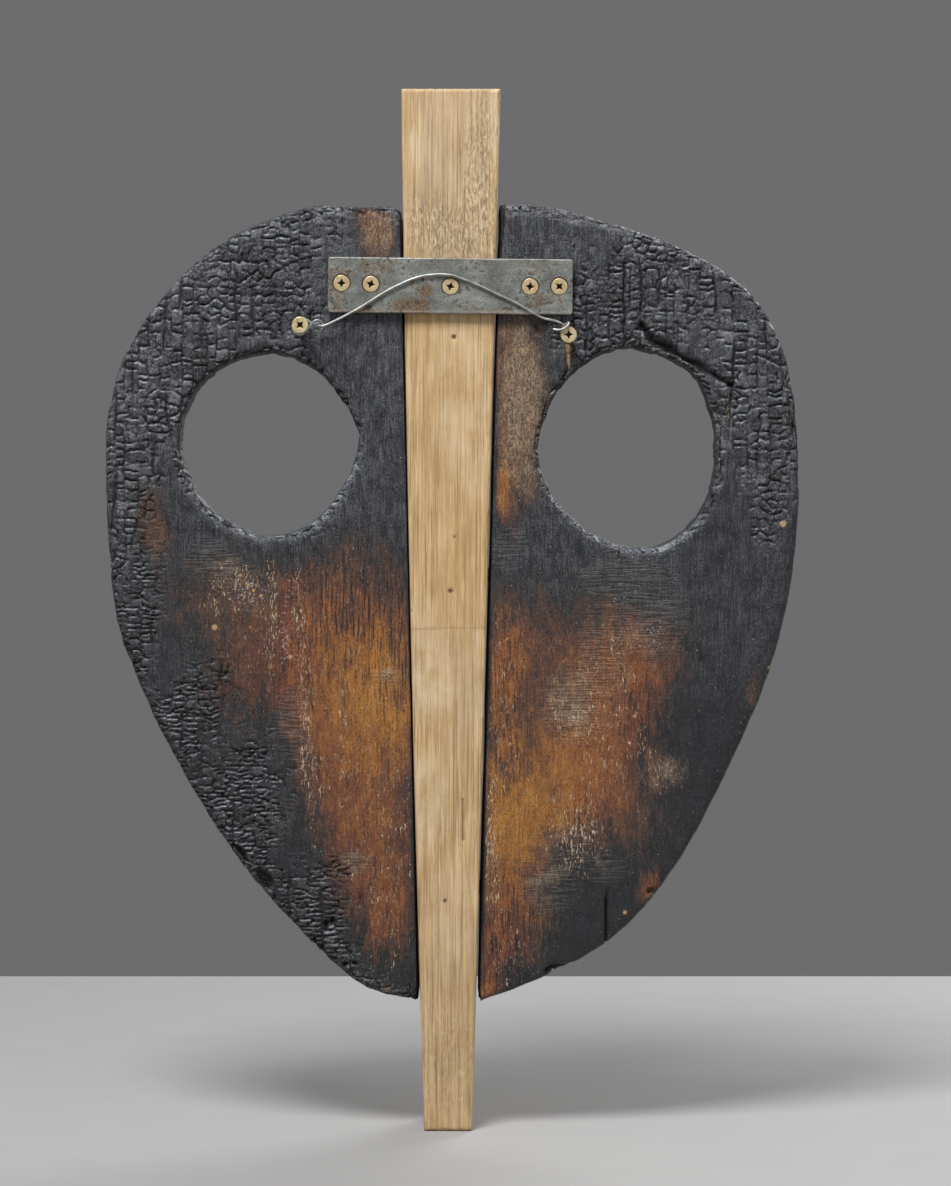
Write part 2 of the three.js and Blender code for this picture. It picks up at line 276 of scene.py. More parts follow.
def plates(p, seed, pattern, width, height, line, depth, tilt):
    """(drop, painted shade, tone) of one pattern of plates, each a little tilted and a tone of its own. The
    darkness is shade painted into the cracks.
    """
    distance, strength, place, plate = pattern(p, width, height, seed)
    strength = strength * smooth(-0.8, -0.2, noise(p, (7, 30, 7), seed + 12, 2))
    drop, inside = groove(distance, strength, line, depth, 0.16 * min(width, height))
    lean = [hashed(seed + k, *plate) - 0.5 for k in (5, 6, 7)]
    drop = drop + tilt * (lean[0] * place[0] + lean[1] * place[1]) + 0.25 * depth * lean[2]
    return drop, inside, hashed(seed + 8, *plate)


def patches(p, rows, seed, rag=0.3, soft=1.0):
    """Several ragged soft patches on the XZ plane run together, each (x, z, rx, rz, strength[, turn])."""
    left = np.ones(len(p))
    q = warped(p * [1, 0.3, 1], 5, (22, 40, 40), seed)
    ragged = rag * noise(p, (5, 40, 14), seed + 11, 3)
    for x, z, rx, rz, strength, *turn in rows:
        a = math.radians(turn[0] if turn else 0)
        dx, dz = q[:, 0] - x, q[:, 2] - z
        reach = 2.2 * max(rx, rz)
        near = (np.abs(dx) < reach) & (np.abs(dz) < reach)
        dx, dz = dx[near], dz[near]
        across, up = dx * math.cos(a) + dz * math.sin(a), dz * math.cos(a) - dx * math.sin(a)
        r = np.hypot(across / rx, up / rz) + ragged[near]
        left[near] *= 1 - strength * smooth(1 + 0.6 * soft, 1 - 0.75 * soft, r)
    return 1 - left


def near_path(p, path):
    """(distance to a line through XZ points, how far along it from 0 to 1)."""
    best, where = np.full(len(p), 1e9), np.zeros(len(p))
    for i, (a, b) in enumerate(zip(path, path[1:])):
        a, b = np.array(a, float), np.array(b, float)
        d = p[:, [0, 2]] - a
        t = np.clip(d @ (b - a) / ((b - a) @ (b - a)), 0, 1)
        far = np.linalg.norm(d - t[:, None] * (b - a), axis=1)
        closer = far < best
        best = np.where(closer, far, best)
        where = np.where(closer, (i + t) / (len(path) - 1), where)
    return best, where


# ---------------------------------------------------------------- meshes


def applied(obj, name):
    """A new mesh with obj's modifiers applied."""
    graph = bpy.context.evaluated_depsgraph_get()
    mesh = bpy.data.meshes.new_from_object(obj.evaluated_get(graph))
    mesh.name = name
    return mesh


def fine_copy(node, name, voxel):
    """An evenly fine mesh of a CAD node's shape."""
    rough = link(name + "_rough", frame["nodes"][node].data.copy())
    remesh = rough.modifiers.new("Remesh", "REMESH")
    remesh.mode = "VOXEL"
    remesh.voxel_size = voxel
    mesh = applied(rough, name)
    bpy.data.objects.remove(rough)
    mesh.materials.clear()
    return mesh


def read(mesh, what="co"):
    out = np.empty(len(mesh.vertices) * 3, np.float32)
    mesh.vertices.foreach_get(what, out)
    return out.reshape(-1, 3).astype(float)


def write(mesh, co):
    mesh.vertices.foreach_set("co", np.asarray(co, np.float32).ravel())
    mesh.update()


def store(mesh, name, *channels):
    """Up to three numbers per vertex, for a material to read."""
    values = np.zeros((len(mesh.vertices), 3), np.float32)
    for k, channel in enumerate(channels):
        values[:, k] = channel
    mesh.attributes.new(name, "FLOAT_VECTOR", "POINT").data.foreach_set("vector", values.ravel())


def smooth_object(mesh):
    """The mesh as an object of its own name, shaded smooth."""
    mesh.polygons.foreach_set("use_smooth", np.ones(len(mesh.polygons), bool))
    mesh.update()
    return link(mesh.name, mesh)


def finished(obj, material, node):
    """Gives a piece its material, puts it on the mask's body and hides the CAD node that it stands for."""
    obj.data.materials.append(material)
    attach(obj, "mask")
    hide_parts(node)


# ---------------------------------------------------------------- materials


class Shader:
    """A material, built by calls that return output sockets."""

    def __init__(self, name):
        self.material = bpy.data.materials.new(name)
        self.material.use_nodes = True
        self.tree = self.material.node_tree
        self.surface = self.tree.nodes["Principled BSDF"]
        self.place = self.node("TexCoord").outputs["Object"]

    def node(self, kind, inputs=(), **settings):
        node = self.tree.nodes.new("ShaderNode" + kind)
        for key, value in settings.items():
            setattr(node, key, value)
        for key, value in dict(inputs).items():
            self.feed(node.inputs[key], value)
        return node

    def feed(self, target, value):
        if isinstance(value, bpy.types.NodeSocket):
            self.tree.links.new(value, target)
        elif hasattr(value, "__len__") and len(value) == 3 and target.type == "RGBA":
            target.default_value = (*value, 1)
        else:
            target.default_value = value

    def math(self, operation, a, b=0.0, c=0.0, clamp=False):
        return self.node("Math", {0: a, 1: b, 2: c}, operation=operation, use_clamp=clamp).outputs[0]

    def add(self, a, b):
        return self.math("ADD", a, b)

    def minus(self, a, b):
        return self.math("SUBTRACT", a, b)

    def mul(self, a, b):
        return self.math("MULTIPLY", a, b)

    def mul_add(self, a, b, c, clamp=False):
        return self.math("MULTIPLY_ADD", a, b, c, clamp)

    def centred(self, value, gain):
        """A noise from 0 to 1 as a swing to either side of 0."""
        return self.mul(self.minus(value, 0.5), gain)

    def window(self, value, low, high):
        """0 below low, 1 above high, and an easy curve between. low may be the larger."""
        limits = {0: value, 1: low, 2: high}
        return self.node("MapRange", limits, interpolation_type="SMOOTHSTEP").outputs[0]

    def mix(self, share, a, b, blend="MIX"):
        node = self.node("Mix", data_type="RGBA", blend_type=blend)
        for key, value in ((0, share), (6, a), (7, b)):
            self.feed(node.inputs[key], value)
        return node.outputs[2]

    def scaled(self, size, offset=(0, 0, 0)):
        """The place in units of the given size, in millimetres along each axis."""
        scale = [1 / (s * MM) for s in size]
        return self.node("Mapping", {0: self.place, 1: offset, 3: scale}).outputs[0]

    def noise(self, size, detail=4, rough=0.55, distortion=0.0, offset=(0, 0, 0)):
        inputs = {"Vector": self.scaled(size, offset), "Scale": 1.0, "Detail": detail}
        inputs.update({"Roughness": rough, "Distortion": distortion})
        return self.node("TexNoise", inputs).outputs[0]

    def ramp(self, value, *stops):
        """A colour or grey for each (position, value)."""
        node = self.node("ValToRGB", {0: value})
        ramp = node.color_ramp
        while len(ramp.elements) < len(stops):
            ramp.elements.new(0.5)
        for element, (at, colour) in zip(ramp.elements, stops):
            element.position = at
            element.color = (*colour, 1) if hasattr(colour, "__len__") else (colour, colour, colour, 1)
        return node.outputs[0]

    def zones(self, name):
        """The three numbers that store() gave each vertex."""
        vector = self.node("Attribute", attribute_name=name).outputs["Vector"]
        return self.node("SeparateXYZ", {0: vector}).outputs

    def bump(self, height, distance, strength):
        return self.node("Bump", {"Height": height, "Distance": distance, "Strength": strength}).outputs[0]

    def finish(self, **inputs):
        names = {"colour": "Base Color", "roughness": "Roughness", "metallic": "Metallic"}
        names.update({"normal": "Normal", "specular": "Specular IOR Level"})
        for key, value in inputs.items():
            self.feed(self.surface.inputs[names[key]], value)
        return self.material


class BurntShader(Shader):
    """The charred planks' material, laid on in layers that share a few noises."""

    def __init__(self, name):
        super().__init__(name)
        self.grain = self.noise((1.5, 2, 22), 4, 0.6, 0.3)
        self.lines = self.noise((0.75, 1, 15), 3, 0.6, 0.15)
        self.mottle = self.noise((7, 7, 10), 6, 0.65, 0.4)
        self.speck = self.noise((0.95, 0.95, 1.3), 4, 0.7)
        self.dash = self.noise((0.85, 1.2, 3.0), 3, 0.6, 0.7)

    def plain_char(self, tone):
        """Char that hasn't cracked, grained and mottled, and blacker where tone is low."""
        soot = self.add(self.mul(self.mottle, 0.5), self.mul(self.speck, 0.5))
        soot = self.add(soot, self.add(self.centred(self.dash, 0.25), self.centred(self.lines, 0.45)))
        black, mid, pale = (0.010, 0.010, 0.012), (0.044, 0.045, 0.051), (0.125, 0.127, 0.138)
        plain = self.ramp(soot, (0.38, black), (0.5, mid), (0.62, pale))
        return self.mix(self.mul(self.minus(1.0, tone), 0.85), plain, (0.010, 0.0105, 0.0125))

    def fine_cracks(self, block):
        """A net of hair cracks, here and there on the plates. The plated char paints shade into them."""
        bend = {"Vector": self.scaled((2.5, 2.5, 2.5)), "Scale": 1.0, "Detail": 2.0}
        bend = self.node("TexNoise", bend).outputs["Color"]
        bent = self.node("VectorMath", {0: self.scaled((3.4, 3.4, 2.7)), 1: bend}).outputs[0]
        net = self.node("TexVoronoi", {"Vector": bent, "Scale": 1.0}, feature="DISTANCE_TO_EDGE")
        net = self.window(net.outputs["Distance"], 0.11, 0.03)
        return self.mul(self.mul(net, self.window(self.mottle, 0.42, 0.56)), block)

    def plated_char(self, tone, net, shade, painted_lip_highlight):
        """Cracked plates, each with a tone of its own, with painted shade in the hair cracks and on the
        undersides and a painted highlight on the upper lips.
        """
        uneven = self.add(self.centred(self.speck, 0.7), self.centred(self.dash, 0.4))
        level = self.add(self.mul_add(tone, 0.55, 0.22), uneven)
        black, mid, pale = (0.020, 0.020, 0.022), (0.086, 0.087, 0.094), (0.22, 0.223, 0.24)
        plate = self.ramp(level, (0.15, black), (0.5, mid), (0.85, pale))
        plate = self.mix(self.mul(net, 0.85), plate, (0.004, 0.004, 0.005))
        plate = self.mix(self.mul(shade, 0.85), plate, (0.005, 0.005, 0.006))
        bright = self.mul(painted_lip_highlight, self.window(self.speck, 0.38, 0.5))
        return self.mix(self.mul(bright, 0.95), plate, (0.42, 0.43, 0.46))

    def heated(self, char, heat, red, comb):
        """Heat takes the char through brown and red to ochre, and the grain takes it unevenly."""
        level = self.add(heat, self.add(self.centred(self.mottle, 0.7), self.centred(self.speck, 0.4)))
        level = self.add(level, self.centred(self.dash, 0.45))
        level = self.add(level, self.mul(self.centred(self.grain, 1.2), self.mul_add(comb, 0.7, 0.15)))
        burnt = self.ramp(
            level, (0.0, (0.02, 0.019, 0.02)), (0.22, (0.038, 0.027, 0.025)), (0.4, (0.084, 0.044, 0.031)),
            (0.58, (0.158, 0.060, 0.026)), (0.78, (0.295, 0.112, 0.022)), (1.0, (0.46, 0.192, 0.027)),
        )
        ruddy = self.ramp(
            level, (0.2, (0.042, 0.020, 0.016)), (0.5, (0.152, 0.042, 0.020)), (0.9, (0.32, 0.10, 0.024)),
        )
        colour = self.mix(self.window(level, 0.08, 0.34), char, self.mix(red, burnt, ruddy))
        colour = self.mix(self.window(self.speck, 0.47, 0.36), colour, self.mix(0.58, colour, (0, 0, 0)))
        paler = self.mul(self.window(self.dash, 0.56, 0.66), self.mul(heat, 0.5))
        colour = self.mix(paler, colour, (0.42, 0.25, 0.12))
        streak = self.window(self.add(self.lines, self.centred(self.grain, 0.6)), 0.47, 0.40)
        return self.mix(self.mul(streak, self.mul_add(comb, 0.65, 0.28)), colour, (0.010, 0.0075, 0.0075))

    def dusted(self, colour, ash):
        dust = self.window(self.add(ash, self.centred(self.mottle, 1.2)), 0.25, 0.85)
        fine = self.mul_add(self.speck, 0.5, self.mul(self.dash, 0.5))
        pale = self.mix(self.window(fine, 0.4, 0.6), (0.075, 0.054, 0.038), (0.46, 0.335, 0.205))
        return self.mix(self.mul(dust, 0.62), colour, pale)

    def sawn(self, colour, saw, bands):
        """The saw's ripples, with painted shade between them and a painted highlight on top."""
        colour = self.mix(self.mul(self.minus(saw, bands), 0.4), colour, (0.03, 0.025, 0.023))
        return self.mix(self.mul(bands, 0.9), colour, (0.062, 0.054, 0.046), "ADD")

    def with_painted_rim_sheen(self, colour, painted_rim_sheen):
        """A painted grey sheen round the eyes."""
        sheen_mask = self.centred(self.noise((1.6, 1.6, 1.6), 4, 0.75), 2.4)
        sheen_mask = self.window(self.add(painted_rim_sheen, sheen_mask), 0.45, 1.05)
        grey = self.mix(self.window(self.speck, 0.35, 0.62), (0.03, 0.035, 0.042), (0.30, 0.33, 0.36))
        return self.mix(self.mul(sheen_mask, 0.8), colour, grey)

    def crumbed(self, colour, frost):
        """Pale crumbs where frost says, and a few painted glints everywhere."""
        crumbs = self.add(self.noise((1.3, 1.3, 1.3), 3, 0.6, 0.4, (1, 4, 2)), self.centred(frost, 0.08))
        crumbs = self.mul(self.window(crumbs, 0.62, 0.66), self.window(frost, 0.1, 0.5))
        white = self.mix(self.mottle, (0.30, 0.29, 0.29), (0.56, 0.57, 0.59))
        colour = self.mix(self.mul(crumbs, 0.85), colour, white)
        glint = self.window(self.noise((1.0, 1.0, 1.0), 2, 0.5, 0, (5, 2, 7)), 0.69, 0.73)
        return self.mix(self.mul(glint, 0.75), colour, (0.40, 0.40, 0.41))


def charred_wood():
    """Burnt plank. Zones: burn = heat, red, comb; char = painted crack shade, tone, gloss; trace = ash,
    fleck, saw;
    bare = painted rim sheen, splinter, block; edge = painted highlight on plates' upper lips, painted shade
    on their undersides, frost."""
    s = BurntShader("charred_wood")
    heat, red, comb = s.zones("burn")
    painted_crack_shade, tone, gloss = s.zones("char")
    ash, fleck, saw = s.zones("trace")
    painted_rim_sheen, splinter, block = s.zones("bare")
    painted_lip_highlight, shade, frost = s.zones("edge")

    net = s.fine_cracks(block)
    char = s.mix(block, s.plain_char(tone), s.plated_char(tone, net, shade, painted_lip_highlight))
    colour = s.dusted(s.heated(char, heat, red, comb), ash)
    bands = s.mul(s.window(s.noise((13, 9, 0.95), 2, 0.5, 0.3), 0.46, 0.56), saw)
    colour = s.with_painted_rim_sheen(s.sawn(colour, saw, bands), painted_rim_sheen)
    chips = s.noise((0.8, 1.2, 3.4), 3, 0.6, 1.0, (3, 0, 1))
    chips = s.window(s.add(chips, s.centred(fleck, 0.15)), 0.60, 0.64)
    warm = s.ramp(s.mottle, (0.35, (0.36, 0.21, 0.11)), (0.6, (0.66, 0.50, 0.34)))
    colour = s.mix(s.mul(chips, s.window(fleck, 0.05, 0.3)), colour, warm)
    colour = s.crumbed(colour, frost)
    colour = s.mix(splinter, colour, s.mix(s.lines, (0.32, 0.15, 0.06), (0.66, 0.45, 0.24)))
    # Cracks, hollows, creases and the hidden walls of the eyes and seams are painted near black, as shade.
    colour = s.mix(s.mul(painted_crack_shade, 0.98), colour, (0.0015, 0.0015, 0.002))

    rough = s.mul_add(gloss, -0.14, s.mul_add(s.mottle, 0.2, 0.34))
    rough = s.mul_add(painted_crack_shade, 0.5, rough, clamp=True)
    fine = s.mul_add(s.dash, 0.5, s.mul_add(s.grain, 0.5, s.mul(s.speck, 0.7)))
    for value, height in ((bands, 0.8), (chips, 0.5), (net, -1.0)):
        fine = s.mul_add(value, height, fine)
    return s.finish(colour=colour, roughness=rough, normal=s.bump(fine, 0.0008, 0.9))


def bare_softwood():
    """Weathered batten. Zones: wear = grey, knots and cracks, bruised edge; tint = warm, pale, flaky."""
    s = Shader("bare_softwood")
    grey, knot, bruise = s.zones("wear")
    warm, pale, flaky = s.zones("tint")
    x, y, _ = s.node("SeparateXYZ", {0: s.place}).outputs
    dx = s.mul_add(s.noise((60, 60, 300), 2, 0.5), 0.010, s.add(x, 0.052))
    dy = s.minus(y, 0.085)
    radius = s.math("SQRT", s.add(s.mul(dx, dx), s.mul(dy, dy)))
    radius = s.mul_add(s.noise((3.5, 3.5, 60), 4, 0.6), 0.0022, radius)
    phase = s.math("FRACT", s.math("DIVIDE", radius, 0.0024))
    rings = s.ramp(phase, (0.0, 0.0), (0.45, 0.08), (0.8, 0.55), (0.92, 1.0), (1.0, 0.0))
    fibre = s.noise((0.8, 0.8, 70), 4, 0.62)
    hair = s.noise((0.75, 0.75, 26), 3, 0.6, 0.15)
    broad = s.noise((9, 9, 110), 4, 0.6)
    patch = s.noise((18, 18, 30), 5, 0.6)
    fray = s.noise((1.1, 1.1, 4.2), 4, 0.7, 0.5)

    light = s.mix(s.ramp(patch, (0.36, 0.0), (0.64, 1.0)), (0.54, 0.34, 0.155), (0.70, 0.475, 0.245))
    dark = s.mix(broad, (0.25, 0.135, 0.055), (0.42, 0.26, 0.12))
    strength = s.node("MapRange", {0: broad, 1: 0.38, 2: 0.62, 3: 0.15, 4: 0.85}).outputs[0]
    colour = s.mix(s.mul(rings, strength), light, dark)
    colour = s.mix(s.ramp(fibre, (0.38, 0.85), (0.46, 0.0)), colour, (0.27, 0.165, 0.075))
    colour = s.mix(s.ramp(hair, (0.37, 0.6), (0.45, 0.0)), colour, (0.36, 0.23, 0.115))
    colour = s.mix(s.ramp(hair, (0.55, 0.0), (0.64, 0.4)), colour, (0.86, 0.69, 0.44))
    colour = s.mix(s.mul(warm, 0.55), colour, (0.46, 0.285, 0.09))
    colour = s.mix(s.mul(pale, s.ramp(patch, (0.4, 0.1), (0.6, 0.75))), colour, (0.76, 0.62, 0.42))
    dirt = s.mix(s.ramp(fibre, (0.3, 0.0), (0.7, 1.0)), (0.23, 0.165, 0.105), (0.58, 0.455, 0.32))
    worn = s.mul(grey, s.ramp(broad, (0.35, 0.45), (0.6, 1.0)))
    colour = s.mix(s.mul(worn, 0.8), colour, dirt)
    torn = s.mul(flaky, s.ramp(fray, (0.53, 0.0), (0.6, 1.0)))
    colour = s.mix(s.mul(torn, 0.75), colour, (0.22, 0.145, 0.075))
    lifted = s.mul(flaky, s.ramp(fray, (0.36, 1.0), (0.44, 0.0)))
    colour = s.mix(s.mul(lifted, 0.7), colour, (0.82, 0.68, 0.47))
    colour = s.mix(s.mul(bruise, 0.8), colour, s.mix(fibre, (0.36, 0.26, 0.15), (0.82, 0.70, 0.5)))
    colour = s.mix(knot, colour, (0.11, 0.05, 0.018))
    rough = s.mul_add(fibre, 0.2, 0.55)
    height = s.mul_add(rings, -0.4, fibre)
    height = s.mul_add(torn, -0.8, height)
    return s.finish(colour=colour, roughness=rough, specular=0.35, normal=s.bump(height, 0.0003, 0.7))


def scaled_steel():
    """Flat bar with grey mill scale, thin brown rust and worn edges. Zone patina = rust, worn edge, pits
    with painted shadow rings round the screws.
    """
    s = Shader("scaled_steel")
    rust, worn, pits_and_painted_shadow = s.zones("patina")
    cloud = s.noise((14, 14, 9), 6, 0.62, 0.4)
    spots = s.noise((2.6, 2.6, 2.6), 5, 0.7, 0.4)
    fine = s.noise((0.9, 0.9, 0.9), 4, 0.7)
    scratch = s.noise((11, 1, 0.8), 3, 0.6, 0.2)
    dark, mid, light = (0.14, 0.142, 0.13), (0.23, 0.238, 0.214), (0.34, 0.346, 0.31)
    scale = s.ramp(cloud, (0.36, dark), (0.52, mid), (0.66, light))
    scale = s.mix(s.ramp(fine, (0.36, 0.75), (0.46, 0.0)), scale, (0.06, 0.052, 0.044))
    scale = s.mix(s.ramp(fine, (0.56, 0.0), (0.66, 0.6)), scale, (0.40, 0.41, 0.39))
    scale = s.mix(s.ramp(scratch, (0.6, 0.0), (0.72, 0.4)), scale, (0.36, 0.36, 0.33))
    level = s.add(rust, s.centred(spots, 2.4))
    oxide = s.window(level, 0.3, 0.75)
    dark, mid, light = (0.035, 0.020, 0.012), (0.125, 0.072, 0.036), (0.28, 0.185, 0.095)
    brown = s.ramp(fine, (0.34, dark), (0.5, mid), (0.64, light))
    colour = s.mix(s.mul(oxide, 0.9), scale, brown)
    colour = s.mix(s.mul(worn, 0.8), colour, s.mix(fine, (0.24, 0.17, 0.12), (0.70, 0.63, 0.55)))
    # Pits, and the painted shadow rings round the screws.
    colour = s.mix(s.mul(pits_and_painted_shadow, 0.85), colour, (0.03, 0.019, 0.012))
    metal = s.mul_add(oxide, -0.3, 0.4, clamp=True)
    rough = s.mul_add(spots, 0.2, s.mul_add(oxide, 0.2, 0.38))
    height = s.mul_add(spots, 0.5, fine)
    return s.finish(colour=colour, metallic=metal, roughness=rough, normal=s.bump(height, 0.00012, 0.6))


def yellow_zinc():
    """Yellow passivated screw. Zone part = grime and painted shade in the recess and under the rim."""
    s = Shader("yellow_zinc")
    grime_and_painted_shade, copper, _ = s.zones("part")
    tint = s.noise((2.2, 2.2, 2.2), 3, 0.5, 0.8)
    fine = s.noise((0.25, 0.25, 0.25), 3, 0.6)
    colour = s.ramp(tint, (0.3, (0.74, 0.50, 0.20)), (0.5, (0.90, 0.72, 0.38)), (0.7, (0.95, 0.87, 0.62)))
    colour = s.mix(s.mul(copper, 0.6), colour, (0.82, 0.56, 0.36))
    colour = s.mix(s.mul(s.ramp(fine, (0.55, 0.0), (0.75, 1.0)), 0.3), colour, (0.42, 0.3, 0.14))
    # Dirt and painted shade in the recess and round the rim.
    colour = s.mix(grime_and_painted_shade, colour, (0.07, 0.038, 0.016))
    rough = s.mul_add(fine, 0.16, s.mul_add(grime_and_painted_shade, 0.25, 0.24))
    metal = s.mul_add(grime_and_painted_shade, -0.3, 0.6)
    return s.finish(colour=colour, metallic=metal, roughness=rough, normal=s.bump(fine, 0.00003, 0.5))


def dull_wire():
    s = Shader("dull_wire")
    tint = s.noise((5, 5, 5), 4, 0.6)
    fine = s.noise((0.3, 0.3, 0.3), 3, 0.6)
    colour = s.ramp(tint, (0.35, (0.27, 0.26, 0.245)), (0.6, (0.50, 0.49, 0.465)))
    colour = s.mix(s.ramp(fine, (0.6, 0.0), (0.8, 0.4)), colour, (0.2, 0.17, 0.14))
    rough = s.mul_add(fine, 0.2, 0.36)
    return s.finish(colour=colour, metallic=0.7, roughness=rough, normal=s.bump(fine, 0.00003, 0.4))


def dowel_wood():
    """Hardwood pin, blackened with soot."""
    s = Shader("dowel_wood")
    fibre = s.noise((14, 0.4, 0.4), 4, 0.6)
    colour = s.ramp(fibre, (0.3, (0.02, 0.015, 0.012)), (0.6, (0.07, 0.048, 0.032)))
    return s.finish(colour=colour, roughness=0.6, normal=s.bump(fibre, 0.0001, 0.5))


# ---------------------------------------------------------------- charred planks

# Patches are (x, z, half width, half height, strength), and a turn in degrees where there is one, in
# millimetres on the back.
LEFT_ZONES = {
    "heat": [
        (-40, 488, 10, 13, 0.5, 12), (-42, 476, 7, 14, 0.35), (-160, 330, 9, 24, 0.36, 8),
        (-154, 318, 7, 9, 0.24), (-124, 290, 34, 26, 0.3, 20), (-100, 256, 30, 40, 0.4, -20),
        (-50, 282, 34, 34, 0.38), (-46, 236, 34, 40, 0.66), (-38, 230, 20, 34, 0.62),
        (-54, 194, 30, 44, 0.42, 10), (-40, 152, 24, 50, 0.56, 8), (-32, 112, 11, 20, 0.42),
        (-72, 250, 16, 50, 0.3), (-136, 352, 6, 12, 0.2),
    ],
    "red": [
        (-83, 252, 9, 56, 0.9), (-86, 276, 6, 20, 0.7), (-100, 244, 22, 34, 0.6, -20),
        (-40, 140, 26, 60, 0.55, 8), (-64, 210, 14, 40, 0.45, 10), (-52, 288, 34, 24, 0.35),
    ],
    "comb": [
        (-48, 284, 34, 44, 0.95), (-30, 256, 14, 30, 0.7), (-36, 160, 18, 60, 0.25),
        (-30, 104, 12, 20, 0.6),
    ],
    "ash": [
        (-39, 486, 12, 15, 0.65, 10), (-35, 243, 7, 4.5, 0.6), (-122, 303, 15, 8, 0.28),
        (-158, 322, 6, 16, 0.3), (-92, 172, 12, 10, 0.35, 20), (-53, 143, 11, 7, 0.6),
        (-42, 78, 22, 9, 0.5, -14), (-128, 282, 26, 22, 0.2),
    ],
    "fleck": [
        (-76, 222, 4, 62, 1.0, 4), (-95, 270, 3, 40, 0.9), (-80, 292, 3, 26, 0.9),
        (-56, 216, 2.5, 44, 0.6), (-44, 200, 28, 70, 0.35), (-30, 130, 14, 50, 0.45),
        (-116, 296, 16, 12, 0.75), (-110, 270, 30, 30, 0.35), (-60, 300, 20, 20, 0.3),
    ],
    "saw": [
        (-83, 214, 8, 20, 0.8), (-124, 305, 15, 9, 0.75), (-52, 142, 8, 6, 0.7), (-35, 243, 7, 4, 0.6),
    ],
    "frost": [
        (-109, 292, 11, 11, 1.0), (-87, 264, 4, 14, 1.0), (-46, 82, 18, 9, 0.7, -14),
        (-84, 288, 3, 20, 0.7), (-93, 171, 8, 6, 0.5), (-75, 206, 2.4, 20, 0.6, 3),
    ],
    "block": [
        (-118, 462, 62, 38, 1.0, -28), (-158, 418, 34, 50, 1.0, -18), (-172, 350, 17, 56, 0.9),
        (-96, 486, 46, 14, 0.9), (-62, 352, 12, 36, 0.7, -20), (-138, 396, 30, 30, 0.9, 30),
        (-62, 378, 30, 8, 0.4),
    ],
    "band": [
        (-170, 272, 16, 50, 0.9, -12), (-148, 212, 22, 44, 1.0, -28), (-120, 160, 26, 44, 1.0, -36),
        (-84, 116, 26, 38, 1.0, -46), (-116, 188, 18, 36, 0.6, -24), (-60, 92, 20, 14, 0.8, -30),
    ],
}
RIGHT_ZONES = {
    "heat": [
        (37, 400, 16, 44, 0.55), (33, 350, 12, 30, 0.45), (29, 343, 5, 14, 0.55),
        (29, 240, 14, 44, 0.62), (60, 252, 40, 40, 0.42), (88, 226, 30, 44, 0.55, -22),
        (40, 170, 26, 34, 0.85), (30, 150, 16, 34, 0.55), (64, 202, 26, 26, 0.62, -30),
        (86, 176, 32, 24, 0.48, -20), (36, 112, 26, 26, 0.45), (22, 76, 12, 8, 0.6),
        (110, 262, 26, 24, 0.24), (112, 136, 9, 9, 0.6), (166, 238, 6, 14, 0.35),
        (118, 194, 12, 10, 0.3), (24, 92, 8, 24, 0.4),
    ],
    "red": [
        (92, 230, 22, 44, 0.75, -15), (84, 190, 20, 24, 0.5), (30, 104, 14, 34, 0.7),
        (29, 236, 9, 30, 0.5), (112, 136, 9, 9, 0.5), (40, 260, 24, 24, 0.3),
    ],
    "comb": [
        (34, 102, 22, 30, 1.0), (30, 230, 15, 46, 0.8), (37, 400, 16, 40, 0.35),
        (104, 220, 14, 34, 0.5), (74, 160, 18, 16, 0.5), (112, 136, 9, 10, 0.8),
    ],
    "ash": [
        (38, 410, 10, 30, 0.3), (38, 392, 14, 54, 0.8), (66, 231, 14, 17, 0.6), (54, 134, 13, 9, 0.7),
        (116, 192, 10, 11, 0.6), (104, 268, 20, 24, 0.3), (85, 142, 8, 9, 0.45),
        (60, 252, 40, 30, 0.16), (100, 138, 5, 9, 0.3),
    ],
    "fleck": [
        (70, 160, 16, 22, 0.9), (24, 158, 6, 32, 1.0), (84, 214, 22, 44, 0.6), (66, 222, 12, 10, 0.8),
        (30, 236, 12, 44, 0.5), (44, 180, 26, 34, 0.3), (96, 262, 16, 20, 0.5), (116, 192, 10, 10, 0.6),
        (32, 100, 14, 30, 0.4), (29, 343, 5, 14, 0.6), (66, 296, 34, 20, 0.2),
    ],
    "saw": [
        (55, 134, 14, 10, 0.8), (110, 278, 16, 18, 0.85), (66, 234, 12, 16, 0.95),
        (84, 250, 12, 26, 0.6), (85, 142, 8, 9, 0.7), (96, 300, 20, 14, 0.7), (33, 312, 10, 8, 0.5),
        (62, 150, 18, 10, 0.5),
    ],
    "frost": [
        (110, 262, 8, 10, 0.8), (122, 195, 9, 7, 0.5), (66, 220, 9, 5, 0.5), (96, 292, 12, 8, 0.4),
    ],
    "block": [
        (118, 458, 72, 38, 1.0, 24), (168, 404, 28, 52, 1.0, 10), (174, 340, 17, 36, 0.7),
        (86, 442, 32, 22, 0.9), (52, 486, 22, 12, 0.4), (128, 322, 18, 20, 0.3, 30),
    ],
    "band": [(172, 262, 10, 34, 0.3, 12), (86, 92, 30, 10, 0.4, 40)],
}
HOLLOWS = {
    "left_plank": [
        (-99, 133, 4.5, 7, 1.0, 24), (-111, 147, 3, 5, 0.9, 30), (-63, 110, 1.4, 3, 0.8),
        (-60, 112, 1.2, 2.4, 0.7), (-65, 98, 1.6, 3.4, 0.9, 20), (-71, 103, 1.5, 2.4, 0.8),
        (-55, 90, 1.4, 1.6, 0.7), (-50, 90, 1.4, 1.2, 0.7),
    ],
    "right_plank": [
        (58, 86, 6, 3, 1.0, 30), (112, 128, 2.4, 2.4, 0.6), (66, 89, 3, 2, 0.6, 30),
        (88, 118, 0.8, 16, 0.9),
    ],
}
SHAKE = [(104, 434), (112, 425), (125, 418.5), (138, 412), (153, 402.5)]
SPLINTER = [(65, 425), (65.4, 412)]
